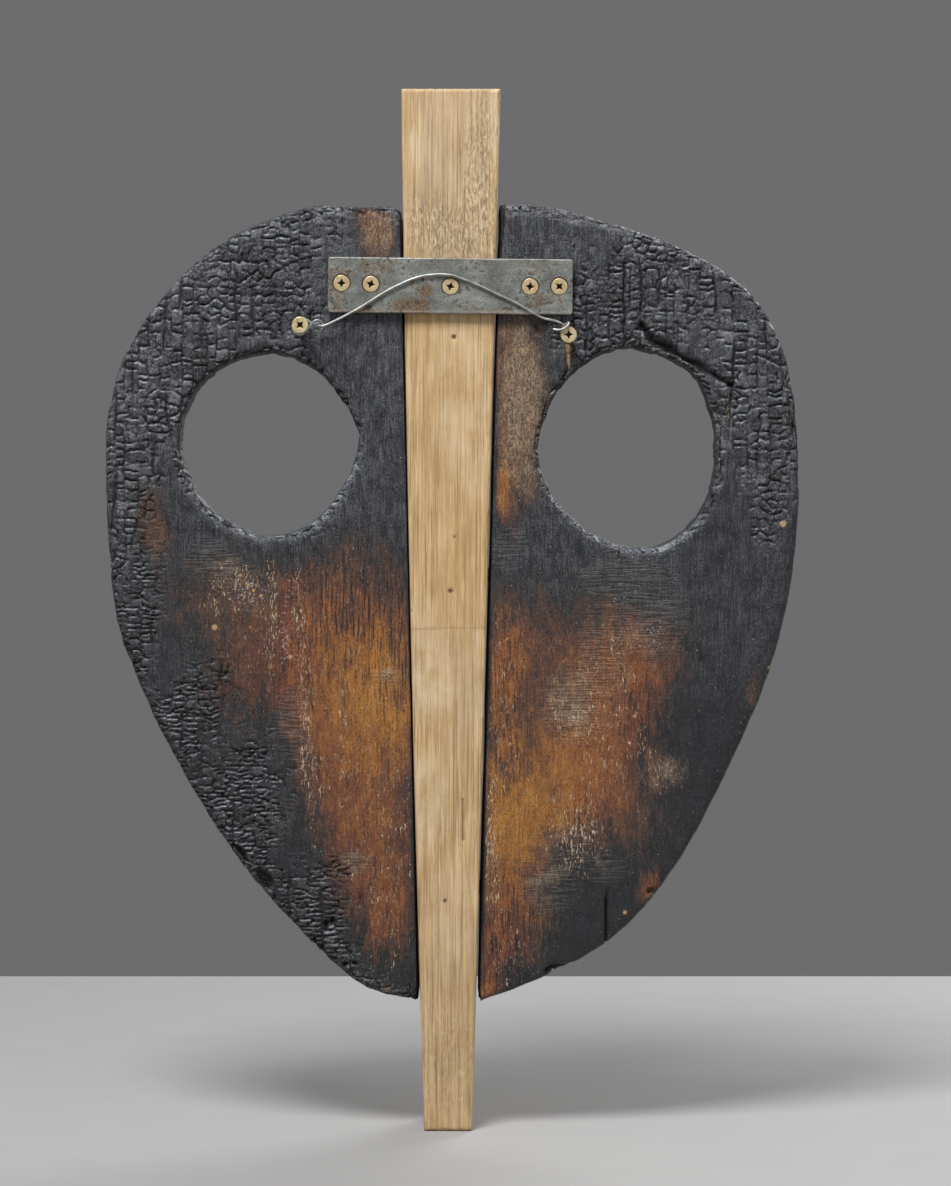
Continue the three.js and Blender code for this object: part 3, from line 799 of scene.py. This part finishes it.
CREASES = {
    "left_plank": [[(-70, 206), (-69, 190), (-67, 176)], [(-76, 262), (-75, 240), (-72, 222)]],
    "right_plank": [
        [(89, 279), (91, 268), (92, 255), (96, 243), (98, 232)], [(93, 317), (92.6, 308)],
        [(104, 226), (104.6, 205)], [(74, 190), (75, 176), (73, 168)], [(151, 403), (151.6, 381)],
    ],
}
# Each is (x, z, radius).
LIGHT_DOTS = {
    "left_plank": [
        (-126, 272, 1.5), (-112, 300, 0.9), (-108, 295, 0.9), (-105, 292, 0.8), (-101, 289, 0.9),
        (-85, 256, 1.1),
    ],
    "right_plank": [(181, 328, 1.7), (174, 250, 1.0), (95.6, 118, 1.0), (101, 224, 0.8)],
}
DOWELS = ["left_dowel_lower", "left_dowel_upper", "right_dowel_lower", "right_dowel_upper"]
# A wall nearer than this to an eye's middle is the eye's own. The step is that of the distance grid.
EYE_REACH = 62
GRID_STEP = 3.0


def corners(node):
    """The low and high corner of a CAD node, in millimetres."""
    return (np.array(corner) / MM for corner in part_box(node))


def eye_centre(name):
    """Middle of an eye's stated opening, as x and z in millimetres."""
    box = next(o["box_m"] for o in frame["record"]["physics"]["openings"] if o["name"] == name)
    return [(box[0][i] + box[1][i]) / 2 / MM for i in (0, 2)]


def in_bores(p):
    """Points on the walls of the dowel bores."""
    inside = np.zeros(len(p), bool)
    for node in DOWELS:
        low, high = corners(node)
        centre, radius = (low + high) / 2, (high[2] - low[2]) / 2
        near = np.hypot(p[:, 1] - centre[1], p[:, 2] - centre[2]) < radius + 2
        inside |= near & (p[:, 0] > low[0] - 3) & (p[:, 0] < high[0] + 3)
    return inside


def distance_field(p, edge):
    """Distance across the plank's face from each vertex to the edge's points, through a coarse grid."""
    tree = kdtree.KDTree(len(edge))
    for k, point in enumerate(edge):
        tree.insert((point[0], 0, point[2]), k)
    tree.balance()
    low = p.min(0) - 4
    nx, nz = (int((p[:, k].max() - low[k]) / GRID_STEP) + 3 for k in (0, 2))
    gx, gz = low[0] + GRID_STEP * np.arange(nx), low[2] + GRID_STEP * np.arange(nz)
    grid = np.array([[tree.find((x, 0, z))[2] for z in gz] for x in gx])
    u, v = (p[:, 0] - low[0]) / GRID_STEP, (p[:, 2] - low[2]) / GRID_STEP
    i, j = u.astype(int), v.astype(int)
    fu, fv = u - i, v - j
    below = grid[i, j] * (1 - fu) + grid[i + 1, j] * fu
    above = grid[i, j + 1] * (1 - fu) + grid[i + 1, j + 1] * fu
    return below * (1 - fv) + above * fv


def edge_fields(p, normal, side, eye):
    """Distance in millimetres, across the plank's face, to its outer edge, its eye and its seam."""
    wall = (np.abs(normal[:, 1]) < 0.35) & ~in_bores(p)
    in_eye = wall & (np.hypot(p[:, 0] - eye[0], p[:, 2] - eye[1]) < EYE_REACH)
    in_seam = wall & ~in_eye & (normal[:, 0] * -side > 0.9)
    outer = wall & ~in_eye & ~in_seam
    return [distance_field(p, edge) for edge in (p[outer][::7], p[in_eye][::5], p[in_seam][::5])]


def spine_edge(side, z):
    """The spine's outer edge in x at height z, on one side of the mask."""
    co = read(frame["nodes"]["nose_spine"].data) / MM
    top = co[:, 2].max()
    foot, crown = (side * (side * co[near, 0]).max() for near in (co[:, 2] < 6, co[:, 2] > top - 6))
    return foot + (crown - foot) * z / top


def seam_closing(p, normal, side, seam):
    """How far the seam's wall leans over to the spine, in x. The gap is open only near the two faces."""
    gap = side * (p[:, 0] - spine_edge(side, p[:, 2]))
    deep = smooth(BACK + 2.5, BACK + 8, p[:, 1]) * smooth(FRONT - 2.5, FRONT - 8, p[:, 1])
    at_wall = smooth(0.5, 0.9, -side * normal[:, 0]) * smooth(3, 1, seam)
    return -side * np.clip(gap - 0.4, 0, 4) * deep * at_wall


# Each pattern of charred plates: how it is divided, a plate's width and height, the cracks' width and
# depth, and how much the plates tilt.
PLATES = [
    (bricks, 6.2, 5.2, 0.44, 1.45, 0.2),
    (cells, 5.6, 4.6, 0.44, 1.35, 0.2),
    (cells, 3.1, 2.5, 0.38, 0.7, 0.12),
    (cells, 7.5, 2.4, 0.45, 1.2, 0.34),
]


def cracked_char(p, seed, cut, band, sparse):
    """(drop, painted shade, tone) of the whole charred surface: square plates, banded plates and long
    checks. The darkness is shade painted into the cracks.
    """
    columns, polygons, small, banded = (plates(p, seed + 20 * k, *row) for k, row in enumerate(PLATES))
    long_drop, dark_long = groove(*long_cracks(p, 9.5, seed + 80), 0.6, 2.2, 1.0)
    style = smooth(-0.12, 0.12, noise(p, (24, 40, 30), seed + 85, 2))
    crumbled = smooth(-0.1, 0.4, noise(p, (26, 40, 26), seed + 90, 2))
    drop, dark, tone = (a * (1 - style) + b * style for a, b in zip(columns, polygons))
    drop = cut * np.maximum(drop + 0.7 * crumbled * small[0], long_drop)
    drop += band * (1 - cut) * np.maximum(banded[0], 0.8 * long_drop)
    dark = np.maximum(dark, 0.9 * crumbled * small[1])
    dark = np.maximum(cut * np.maximum(dark, dark_long), band * np.maximum(banded[1], 0.8 * dark_long))
    check, dark_check = groove(*long_cracks(p, 19, seed + 100), 0.32, 0.7, 0.9)
    drop += sparse * check * (1 - cut)
    tone = np.where(cut > band, 0.65 * tone + 0.35 * small[2], 0.02 + 0.34 * banded[2])
    return drop, np.maximum(dark, 0.8 * sparse * dark_check), tone


class Plank:
    """One charred half: the CAD plank's shape with cracked, pillowed and grained relief."""

    def __init__(self, node, side, zones, seed):
        self.node, self.side, self.seed = node, side, seed
        self.eye = eye_centre(node.replace("plank", "eye"))
        self.mesh = fine_copy(node, "charred_" + node, (0.7) * MM)
        self.p, self.normal = read(self.mesh) / MM, read(self.mesh, "normal")
        self.rim, self.eye_edge, self.seam = edge_fields(self.p, self.normal, side, self.eye)
        self.back = smooth(0.2, -0.5, self.normal[:, 1])
        self.front = smooth(-0.2, 0.5, self.normal[:, 1])
        self.wall = 1 - self.back - self.front
        self.sawn = smooth(5, 1.5, self.seam) * smooth(8, 14, self.rim)
        self.cloud = self.noise((50, 60, 70), 3, 2)
        self.zone = {}
        for k, (key, rows) in enumerate(zones.items()):
            self.zone[key] = self.back * patches(self.p, rows, seed + 100 * k)
        self.cut, self.band, sparse = self.charred_areas()
        self.drop, self.painted_crack_shade, self.tone = cracked_char(self.p, seed, self.cut, self.band, sparse)
        self.bare = np.zeros(len(self.p))

    def noise(self, size, step, octaves=1):
        """Noise at the vertices. Each use has a step of its own, so that no two follow each other."""
        return noise(self.p, size, self.seed + step, octaves)

    def paint_shade(self, amount):
        self.painted_crack_shade = np.maximum(self.painted_crack_shade, amount)

    def charred_areas(self):
        """(cut, band, sparse): where the char is cut into plates, into bands, or only checked."""
        # The face side and the edges are charred all over.
        block = self.zone["block"]
        upper_left = np.maximum(smooth(10, -10, self.p[:, 0]), smooth(300, 380, self.p[:, 2]))
        near_rim = 0.75 * self.back * smooth(12, 4, self.rim + 5 * self.cloud) * upper_left
        near_eye = 0.85 * self.back * smooth(7.5, 2, self.eye_edge + 4 * self.cloud)
        for more in (self.front * (0.8 + 0.4 * self.cloud), 0.8 * self.wall, near_rim, near_eye):
            block = np.maximum(block, more)
        block = block * (1 - self.sawn)
        cut = smooth(0.25, 0.68, block + 0.4 * self.noise((7, 40, 9), 5, 3) - 0.1)
        band = self.zone["band"] + 0.45 * self.noise((6, 40, 7), 7, 3)
        band = smooth(0.22, 0.75, band) * (1 - self.sawn)
        sparse = smooth(0.15, 0.7, noise(self.p * [1, 0, 1], (24, 1, 60), self.seed + 8))
        return cut * (1 - band), band, sparse * (1 - self.sawn) * (self.back + self.front)

    def carve_grain(self):
        """Raised grain, lumps where the wood has burnt away, and the saw's ripples."""
        ridge = self.noise((1.5, 3, 60), 12, 2)
        height = 0.10 + 0.16 * self.zone["comb"] + 0.08 * self.zone["heat"]
        self.drop += height * (0.6 - ridge) * (1 - self.sawn)
        self.drop += 0.5 * self.cut * (0.5 - 0.5 * self.noise((16, 16, 22), 13, 3))
        ripple = np.sin(self.p[:, 2] * 3.1 + 2.5 * self.noise((12, 12, 9), 14))
        self.drop += 0.12 * self.zone["saw"] * ripple

    def carve_edges(self):
        """Burnt edges are rounder and uneven at the outline and round the eye."""
        worn = smooth(7, 0, self.rim) * (0.5 + 0.5 * self.noise((11, 40, 11), 15, 3)) * 1.3
        worn += smooth(8, 0, self.eye_edge) * (0.5 + 0.7 * self.noise((5, 40, 5), 16, 3)) * 1.7
        self.drop += worn * (1 - self.sawn)

    def carve_hollows(self):
        hollow = self.back * patches(self.p, HOLLOWS[self.node], self.seed + 17, 0.25, 0.5)
        self.drop += 3.0 * hollow
        # The hollows are painted dark, as shade.
        self.paint_shade(0.9 * smooth(0.25, 0.8, hollow))

    def carve_creases(self):
        """Thin creases, painted dark as shade, with pale flecks along them."""
        points = warped(self.p, 0.8, (4, 4, 6), self.seed + 18)
        for path in CREASES[self.node]:
            far, along = near_path(points, path)
            taper = smooth(0, 0.2, along) * smooth(1, 0.8, along) * self.back
            self.drop += 0.9 * taper * smooth(0.9, 0.2, far)
            self.paint_shade(0.65 * taper * smooth(0.6, 0.2, far))
            self.zone["fleck"] = np.maximum(self.zone["fleck"], 0.9 * taper * smooth(2.6, 0.8, far))

    def carve_shake(self):
        """The wide burnt crack over the right eye."""
        far, along = near_path(self.p + 0.9 * self.noise((5, 5, 5), 19)[:, None], SHAKE)
        width = 2.2 * np.sin(np.pi * np.clip(along + 0.08, 0, 1)) * (1 + 0.5 * self.noise((4, 9, 4), 22, 2))
        shake = np.exp(-((far / (1.0 + width)) ** 2)) * self.back
        self.drop += 3.4 * shake
        # The crack is painted dark, as shade.
        self.paint_shade(smooth(0.35, 0.8, shake) * smooth(1.0, 0.7, along))

    def carve_splinter(self):
        """The bare wood torn out under the right hanger screw."""
        far, along = near_path(self.p, SPLINTER)
        self.bare = smooth(1.7, 0.8, far / (1.15 - 0.85 * along)) * self.back
        self.drop += 0.5 * self.bare

    def chip(self):
        """Small bright chips on the back."""
        for x, z, radius in LIGHT_DOTS[self.node]:
            far = np.hypot(self.p[:, 0] - x, self.p[:, 2] - z)
            self.bare = np.maximum(self.bare, smooth(1.25, 0.7, far / radius) * self.back)

    def move(self):
        """Moves the vertices, except in the dowel bores."""
        outside = 1.0 - in_bores(self.p)
        moved = self.p - self.normal * (outside * np.clip(self.drop, -0.3, 6))[:, None]
        moved[:, 0] += seam_closing(self.p, self.normal, self.side, self.seam)
        write(self.mesh, moved * MM)

    def mark_plates(self):
        """Uncracked char is blacker towards the chin. The plates' upper lips get a painted highlight and
        their undersides painted shade.
        """
        worked = np.maximum(self.cut, self.band)
        height = self.p[:, 2]
        plain = 0.8 * smooth(80, 420, height) - (0.14 if self.side > 0 else 0) * smooth(420, 340, height)
        plain = np.clip(plain + 0.25 * self.cloud, 0, 1)
        gloss = np.clip(0.4 + 0.6 * worked - 0.3 * self.zone["heat"], 0, 1)
        painted_crack_shade = np.clip(self.painted_crack_shade * (1 - self.bare), 0, 1)
        store(self.mesh, "char", painted_crack_shade, worked * self.tone + (1 - worked) * plain, gloss)
        up = read(self.mesh, "normal")[:, 2]
        # Painted highlight where the moved surface faces up, painted shade where it faces down.
        painted_lip_highlight = smooth(0.18, 0.5, up) * self.back * worked * smooth(0, 5, self.rim)
        painted_lip_highlight = painted_lip_highlight * smooth(-0.5, 0.4, self.noise((6, 40, 6), 21, 2))
        shade = smooth(-0.15, -0.5, up) * self.back * worked
        store(self.mesh, "edge", painted_lip_highlight, shade, self.zone["frost"])
        return worked

    def mark(self):
        """Stores what the material reads. A painted grey sheen lies round the eyes, strongest on their
        lower rims, and the walls of the eyes and the seams are painted dark as shade.
        """
        zone, back = self.zone, self.back
        # The hidden walls of the eyes and the seams are painted dark, as shade.
        self.paint_shade(0.85 * self.wall * smooth(6, 2, self.eye_edge))
        self.paint_shade(0.92 * self.wall * smooth(6, 2, self.seam))
        worked = self.mark_plates()
        # A painted grey sheen on the eyes' lower rims, and a thinner band of it all round.
        bearing = (self.p[:, 2] - self.eye[1]) / 45 + self.side * (self.p[:, 0] - self.eye[0]) / 90
        painted_rim_sheen = back * smooth(0.25, -0.75, bearing) * smooth(11, 1.5, self.eye_edge + 4 * self.cloud)
        painted_rim_sheen = np.maximum(0.75 * painted_rim_sheen, 0.45 * back * smooth(5, 1, self.eye_edge))
        store(self.mesh, "bare", np.clip(painted_rim_sheen, 0, 1), self.bare, worked)
        dark_seam = back * smooth(1.8 + 1.2 * self.cloud, 0.5, self.seam) * smooth(3, 10, self.rim)
        keep = (1 - dark_seam) * (1 - 0.6 * smooth(3, 0, self.rim))
        store(self.mesh, "burn", zone["heat"] * keep, zone["red"], zone["comb"])
        store(self.mesh, "trace", *(zone[key] * keep for key in ("ash", "fleck", "saw")))


def plank(node, side, zones, seed):
    half = Plank(node, side, zones, seed)
    half.carve_grain()
    half.carve_edges()
    half.carve_hollows()
    half.carve_creases()
    if side > 0:
        half.carve_shake()
        half.carve_splinter()
    half.chip()
    half.move()
    half.mark()
    return smooth_object(half.mesh)


# ---------------------------------------------------------------- spine

PIN_KNOTS = [(3.2, 428.8, 1.3), (1.4, 291.6, 1.3), (-1.6, 124.2, 1.0), (3.6, 320.8, 0.7), (-20, 281, 0.6)]
SPINE_CHECK = [(8.0, 179), (8.4, 157)]
SPINE_ZONES = {
    "grey": [
        (4, 530, 22, 50, 0.9), (0, 480, 30, 34, 0.7), (0, 60, 24, 60, 0.3), (10, 220, 12, 60, 0.25),
    ],
    "warm": [
        (10, 236, 2.4, 40, 0.8), (-14, 268, 22, 8, 0.5), (14, 60, 9, 40, 0.6), (-12, 190, 7, 20, 0.5),
        (-6, 410, 18, 60, 0.35), (-14, 480, 8, 8, 0.5), (8, 330, 20, 40, 0.3), (4, 300, 20, 22, 0.4),
    ],
    "pale": [
        (-14, 250, 14, 24, 0.8), (-12, 180, 12, 20, 0.7), (6, 390, 20, 50, 0.4), (14, 240, 10, 24, 0.4),
        (24, 540, 3, 30, 0.9), (-16, 540, 8, 30, 0.5), (0, 120, 14, 30, 0.4),
    ],
    "flaky": [
        (0, 488, 28, 16, 0.9), (17, 512, 10, 50, 0.8), (-12, 494, 14, 10, 0.5), (0, 40, 20, 40, 0.35),
    ],
}


def spine():
    mesh = fine_copy("nose_spine", "bare_nose_spine", (0.75) * MM)
    p, normal = read(mesh) / MM, read(mesh, "normal")
    side = np.maximum(np.abs(normal[:, 0]), np.abs(normal[:, 1]))
    along = smooth(0.5, 0.9, side)
    back = smooth(-0.3, -0.8, normal[:, 1])
    zone = {key: back * patches(p, rows, 530 + 20 * k) for k, (key, rows) in enumerate(SPINE_ZONES.items())}

    pith = np.hypot(p[:, 0] + 52 + 5 * noise(p, (60, 60, 300), 501), p[:, 1] - 85)
    latewood = np.abs(((pith / 1.55) % 1) - 0.5) * 2
    drop = along * (0.05 * latewood + 0.07 * (1 - noise(p, (1.1, 1.1, 30), 503, 2)))
    drop += 0.14 * zone["flaky"] * (1 - noise(p, (2.2, 2.2, 5), 509, 2))

    # Bruised, chipped arrises, worst at the crown on the right.
    corner = smooth(0.985, 0.8, side) * (1 - smooth(0.6, 0.9, np.abs(normal[:, 2])))
    crown_right = smooth(1, 6, p[:, 0] - 18) * smooth(350, 500, p[:, 2])
    chip = np.clip(noise(p, (5, 5, 13), 504, 3) - 0.05, 0, 1)
    drop += corner * chip * (0.9 + 1.6 * crown_right)
    end = smooth(0.5, 0.95, np.abs(normal[:, 2]))
    drop += end * 0.12 * (1 - noise(p, (1.2, 1.2, 1.2), 505, 2))

    knots = np.zeros(len(p))
    for x, z, radius in PIN_KNOTS:
        far = np.hypot(p[:, 0] - x, p[:, 2] - z)
        knots = np.maximum(knots, smooth(1.3, 0.6, far / radius) * back)
    far, _ = near_path(p + 0.4 * noise(p, (3, 3, 9), 506)[:, None], SPINE_CHECK)
    check = smooth(0.75, 0.2, far) * back
    cross = smooth(0.7, 0.2, np.abs(p[:, 2] - 271.6 - 0.8 * noise(p, (9, 9, 9), 507))) * back * 0.25
    drop += 0.6 * knots + 0.8 * check + 0.3 * cross
    write(mesh, (p - normal * drop[:, None]) * MM)

    grey = np.clip(zone["grey"] + 0.2 * noise(p, (12, 12, 60), 508, 2) + 0.3 * (1 - back), 0, 1)
    knot = np.clip(knots + 0.7 * check + cross, 0, 1)
    bruise = corner * smooth(0.1, 0.5, chip) * (0.35 + 0.65 * crown_right)
    store(mesh, "wear", np.maximum(grey, smooth(0.97, 0.8, side) * 0.4), knot, bruise)
    store(mesh, "tint", zone["warm"], zone["pale"], zone["flaky"])
    return smooth_object(mesh)


# ---------------------------------------------------------------- steel plate

RUST = [
    (-19, 445, 8, 4.5, 0.95), (-27, 444, 7, 4, 0.8), (-12.5, 453, 4, 3.5, 1.0), (57, 446, 12, 5, 0.5),
    (-58, 452, 7, 14, 0.5), (-44, 467, 22, 5, 0.5), (20, 443, 30, 3, 0.5), (6, 469, 30, 3, 0.4),
    (52, 464, 14, 8, 0.35), (-50, 443, 18, 3, 0.6), (30, 456, 22, 10, 0.2), (-36, 456, 16, 8, 0.25),
]
RUST_RING = (-15.5, 456.5, 4.2)


def plate():
    mesh = fine_copy("mending_plate", "rusty_mending_plate", 0.45 * MM)
    p, normal = read(mesh) / MM, read(mesh, "normal")
    corner = smooth(0.97, 0.75, np.abs(normal).max(1))
    rust = patches(p, RUST, 600)
    x, z, radius = RUST_RING
    ring = np.abs(np.hypot(p[:, 0] - x, p[:, 2] - z) - radius)
    rust = np.maximum(rust, 0.9 * smooth(1.6, 0.5, ring) * smooth(-0.5, 0.3, noise(p, (3, 3, 3), 606)))
    pitted = smooth(-0.4, 0.4, noise(p, (12, 12, 12), 602) + rust)
    pits_and_painted_shadow = smooth(0.22, 0.5, noise(p, (1.7, 1.7, 1.7), 601, 3)) * pitted
    drop = 0.05 * pits_and_painted_shadow + 0.03 * (1 - noise(p, (4, 4, 4), 603, 3))
    drop += 0.12 * corner * np.clip(noise(p, (3, 3, 3), 604, 2), 0, 1)
    write(mesh, (p - normal * drop[:, None]) * MM)

    # Rust gathers round the screws with a painted shadow ring round each head, and the plate is worn along
    # its lower edge.
    face = smooth(-0.3, -0.9, normal[:, 1])
    low, _ = corners("mending_plate")
    for number in range(1, 6):
        middle = sum(corners(f"plate_screw_{number}")) / 2
        far = np.hypot(p[:, 0] - middle[0], p[:, 2] - middle[2])
        rust = np.maximum(rust, 0.35 * smooth(6.2, 4.8, far))
        # A painted shadow ring round the head.
        pits_and_painted_shadow = np.maximum(pits_and_painted_shadow, 0.85 * smooth(5.4, 4.7, far))
    rust = np.clip(rust + 0.18 * (1 - face), 0, 1)
    edge = np.maximum(corner, face * smooth(2.2, 0.4, p[:, 2] - low[2] - 0.9))
    store(mesh, "patina", rust, edge * (0.5 + 0.5 * noise(p, (5, 5, 5), 605, 2)), pits_and_painted_shadow)
    return smooth_object(mesh)


# ---------------------------------------------------------------- screws

# In millimetres. The recess's arms reach out this far, and between them it comes in to its waist.
HEAD = {"rim": 0.45, "cone": 2.75, "neck": 1.65, "core": 1.45, "thread": 2.2, "pitch": 2.2}
RECESS = {"reach": 2.65, "waist": 1.28, "depth": 2.3}
AROUND = 96
ANGLE = np.arange(AROUND) * 2 * math.pi / AROUND
STEPS_PER_TURN = 9


def ring(radius, y):
    """AROUND points about a screw's axis, at a depth of y under the face of its head."""
    return np.stack([radius * np.cos(ANGLE), np.broadcast_to(y, ANGLE.shape), radius * np.sin(ANGLE)], 1)


def lofted(rings):
    """A closed mesh through the rings, with a point at either end."""
    points = np.concatenate([rings[0].mean(0, keepdims=True), *rings, rings[-1].mean(0, keepdims=True)])
    faces = [(0, 1 + (k + 1) % AROUND, 1 + k) for k in range(AROUND)]
    for r in range(len(rings) - 1):
        a, b = 1 + r * AROUND, 1 + (r + 1) * AROUND
        faces += [(a + k, a + (k + 1) % AROUND, b + (k + 1) % AROUND, b + k) for k in range(AROUND)]
    end, last = len(points) - 1, 1 + (len(rings) - 1) * AROUND
    faces += [(end, last + k, last + (k + 1) % AROUND) for k in range(AROUND)]
    return points, faces


def head_rings(radius):
    """From the bottom of the cross recess, over the head and down its cone to the neck."""
    quarter = math.pi / 4
    folded = np.abs((ANGLE + quarter) % (math.pi / 2) - quarter)
    slope = (1 / RECESS["waist"] - math.cos(quarter) / RECESS["reach"]) / math.sin(quarter)
    star = 1 / (np.cos(folded) / RECESS["reach"] + np.sin(folded) * slope)
    depth, rim, neck = RECESS["depth"], HEAD["rim"], HEAD["rim"] + HEAD["cone"]
    cross = [(0.32, depth), (0.5, 0.93 * depth), (0.72, 0.45 * depth), (0.93, 0.12), (1.0, 0.02), (1.07, 0)]
    rings = [ring(share * star, y) for share, y in cross]
    outline = [(3.1, 0), (3.6, 0), (radius - 0.28, 0), (radius - 0.1, 0.05), (radius, 0.16), (radius, rim)]
    outline += [(radius - 0.12, rim + 0.12), (HEAD["neck"] + 0.35, neck - 0.25)]
    outline += [(HEAD["neck"] + 0.06, neck + 0.15), (HEAD["neck"], neck + 0.5), (HEAD["neck"], neck + 2.6)]
    return rings + [ring(r, y) for r, y in outline]


def thread_rings(length):
    """The rolled thread, from under the neck to the tip."""
    start, tip = HEAD["rim"] + HEAD["cone"] + 3.0, length - 0.1
    steps = int((tip - start) / HEAD["pitch"] * STEPS_PER_TURN)
    rings = []
    for k in range(steps + 1):
        y = start + (tip - start) * k / steps
        taper = min(1.0, max(0.04, (length - y) / 5.0))
        wave = 1 - np.abs(((y / HEAD["pitch"] - ANGLE / (2 * math.pi)) % 1) * 2 - 1)
        crest = np.clip((wave - 0.45) / 0.55, 0, 1) * min(1.0, (y - start) / 1.2)
        rings.append(ring((HEAD["core"] + (HEAD["thread"] - HEAD["core"]) * crest) * taper, y))
    return rings


def head_grime_and_painted_shade(points):
    """Dirt and painted shade from 0 to 1: in the recess, by the rim and under the head."""
    by_ring = [1.0, 1.0, 0.95, 0.8, 0.45, 0, 0, 0, 0, 0.35, 0.35]
    grime_and_painted_shade = np.zeros(len(points))
    grime_and_painted_shade[0] = 1.0
    grime_and_painted_shade[1 : 1 + len(by_ring) * AROUND] = np.repeat(by_ring, AROUND)
    out = np.hypot(points[:, 0], points[:, 2])
    grime_and_painted_shade += 0.4 * smooth(0.3, 0.6, points[:, 1]) * (out > HEAD["neck"] + 0.5)
    return np.clip(grime_and_painted_shade, 0, 1)


def screw(node, turn, copper, tilt):
    """A countersunk screw with a cross recess and a rolled thread."""
    low, high = corners(node)
    centre = (low + high) / 2
    points, faces = lofted(head_rings((high[0] - low[0]) / 2) + thread_rings(high[1] - low[1]))
    grime_and_painted_shade = head_grime_and_painted_shade(points)
    x, y, z = points.T
    cos, sin = math.cos(math.radians(turn)), math.sin(math.radians(turn))
    x, z = x * cos + z * sin, z * cos - x * sin
    y = y + x * math.tan(math.radians(tilt[0])) + z * math.tan(math.radians(tilt[1]))
    points = np.stack([x + centre[0], y + low[1], z + centre[2]], 1)

    mesh = bpy.data.meshes.new("zinc_" + node)
    mesh.from_pydata((points * MM).tolist(), [], faces)
    mesh.validate()
    store(mesh, "part", grime_and_painted_shade, copper)
    obj = smooth_object(mesh)
    mesh.set_sharp_from_angle(angle=math.radians(38))
    return obj


# ---------------------------------------------------------------- the mask

char = charred_wood()
finished(plank("left_plank", -1, LEFT_ZONES, 1), char, "left_plank")
finished(plank("right_plank", 1, RIGHT_ZONES, 2), char, "right_plank")
finished(spine(), bare_softwood(), "nose_spine")
finished(plate(), scaled_steel(), "mending_plate")

# Each screw: the recess's turn in degrees, how coppery it is, and its head's slant in degrees.
SCREWS = {
    "plate_screw_1": (3, 0.2, (1.5, -2)),
    "plate_screw_2": (20, 0.9, (-1, 1.5)),
    "plate_screw_3": (15, 0.7, (1, 2)),
    "plate_screw_4": (10, 0.6, (-1.5, -1)),
    "plate_screw_5": (45, 0.4, (1, -1.5)),
    "left_hanger_screw": (45, 0.0, (0, 0)),
    "right_hanger_screw": (0, 0.5, (0, 0)),
}
zinc = yellow_zinc()
for node, (turn, copper, tilt) in SCREWS.items():
    finished(screw(node, turn, copper, tilt), zinc, node)

dowel_material = dowel_wood()
for node in DOWELS:
    dowel = frame["nodes"][node]
    dowel.data.materials.clear()
    dowel.data.materials.append(dowel_material)

wire.data.materials.append(dull_wire())

# ---------------------------------------------------------------- floor and light

FLOOR_SIDE = 1.1
FLOOR_NEAR = -0.75
FLOOR_SUNK = 0.0002
BACKGROUND_GREY = (0.152, 0.152, 0.156, 1)
AMBIENT_TINT = (0.93, 0.96, 1.0, 1)
AMBIENT_STRENGTH = 0.22


def floor():
    outline = [(x, y, -FLOOR_SUNK) for x in (-FLOOR_SIDE, FLOOR_SIDE) for y in (FLOOR_NEAR, FLOOR_EDGE)]
    mesh = bpy.data.meshes.new("floor")
    mesh.from_pydata(outline, [], [(0, 2, 3, 1)])
    s = Shader("floor")
    tone = s.mix(s.noise((40, 40, 40), 3, 0.5), (0.355, 0.346, 0.337), (0.385, 0.375, 0.366))
    mesh.materials.append(s.finish(colour=tone, roughness=0.7))
    link("floor", mesh)


def area_light(name, place, target, size, watts, colour=(1, 1, 1)):
    data = bpy.data.lights.new(name, "AREA")
    data.shape = "DISK"
    data.size = size
    data.energy = watts
    data.color = colour
    lamp = link(name, data)
    lamp.location = place
    lamp.rotation_euler = (Vector(target) - Vector(place)).to_track_quat("-Z", "Y").to_euler()


def world():
    """Soft light from all round, and a plain grey behind the mask."""
    made = bpy.data.worlds.new("studio")
    made.use_nodes = True
    nodes, links = made.node_tree.nodes, made.node_tree.links
    nodes.clear()
    seen, ambient = (nodes.new("ShaderNodeBackground") for _ in range(2))
    seen.inputs[0].default_value = BACKGROUND_GREY
    ambient.inputs[0].default_value = AMBIENT_TINT
    ambient.inputs[1].default_value = AMBIENT_STRENGTH
    path, mix, out = (nodes.new("ShaderNode" + kind) for kind in ("LightPath", "MixShader", "OutputWorld"))
    links.new(path.outputs["Is Camera Ray"], mix.inputs[0])
    links.new(ambient.outputs[0], mix.inputs[1])
    links.new(seen.outputs[0], mix.inputs[2])
    links.new(mix.outputs[0], out.inputs[0])
    bpy.context.scene.world = made


floor()
world()
area_light("sky", (-0.45, -1.05, 2.1), (0, 0, 0.28), 0.8, 58, (0.96, 0.98, 1.0))
area_light("fill", (1.5, -1.5, 0.7), (0, 0, 0.3), 1.2, 5)
area_light("front_sky", (0.9, 1.5, 1.2), (0, 0, 0.28), 1.2, 22)
bpy.context.scene.view_settings.view_transform = "Standard"
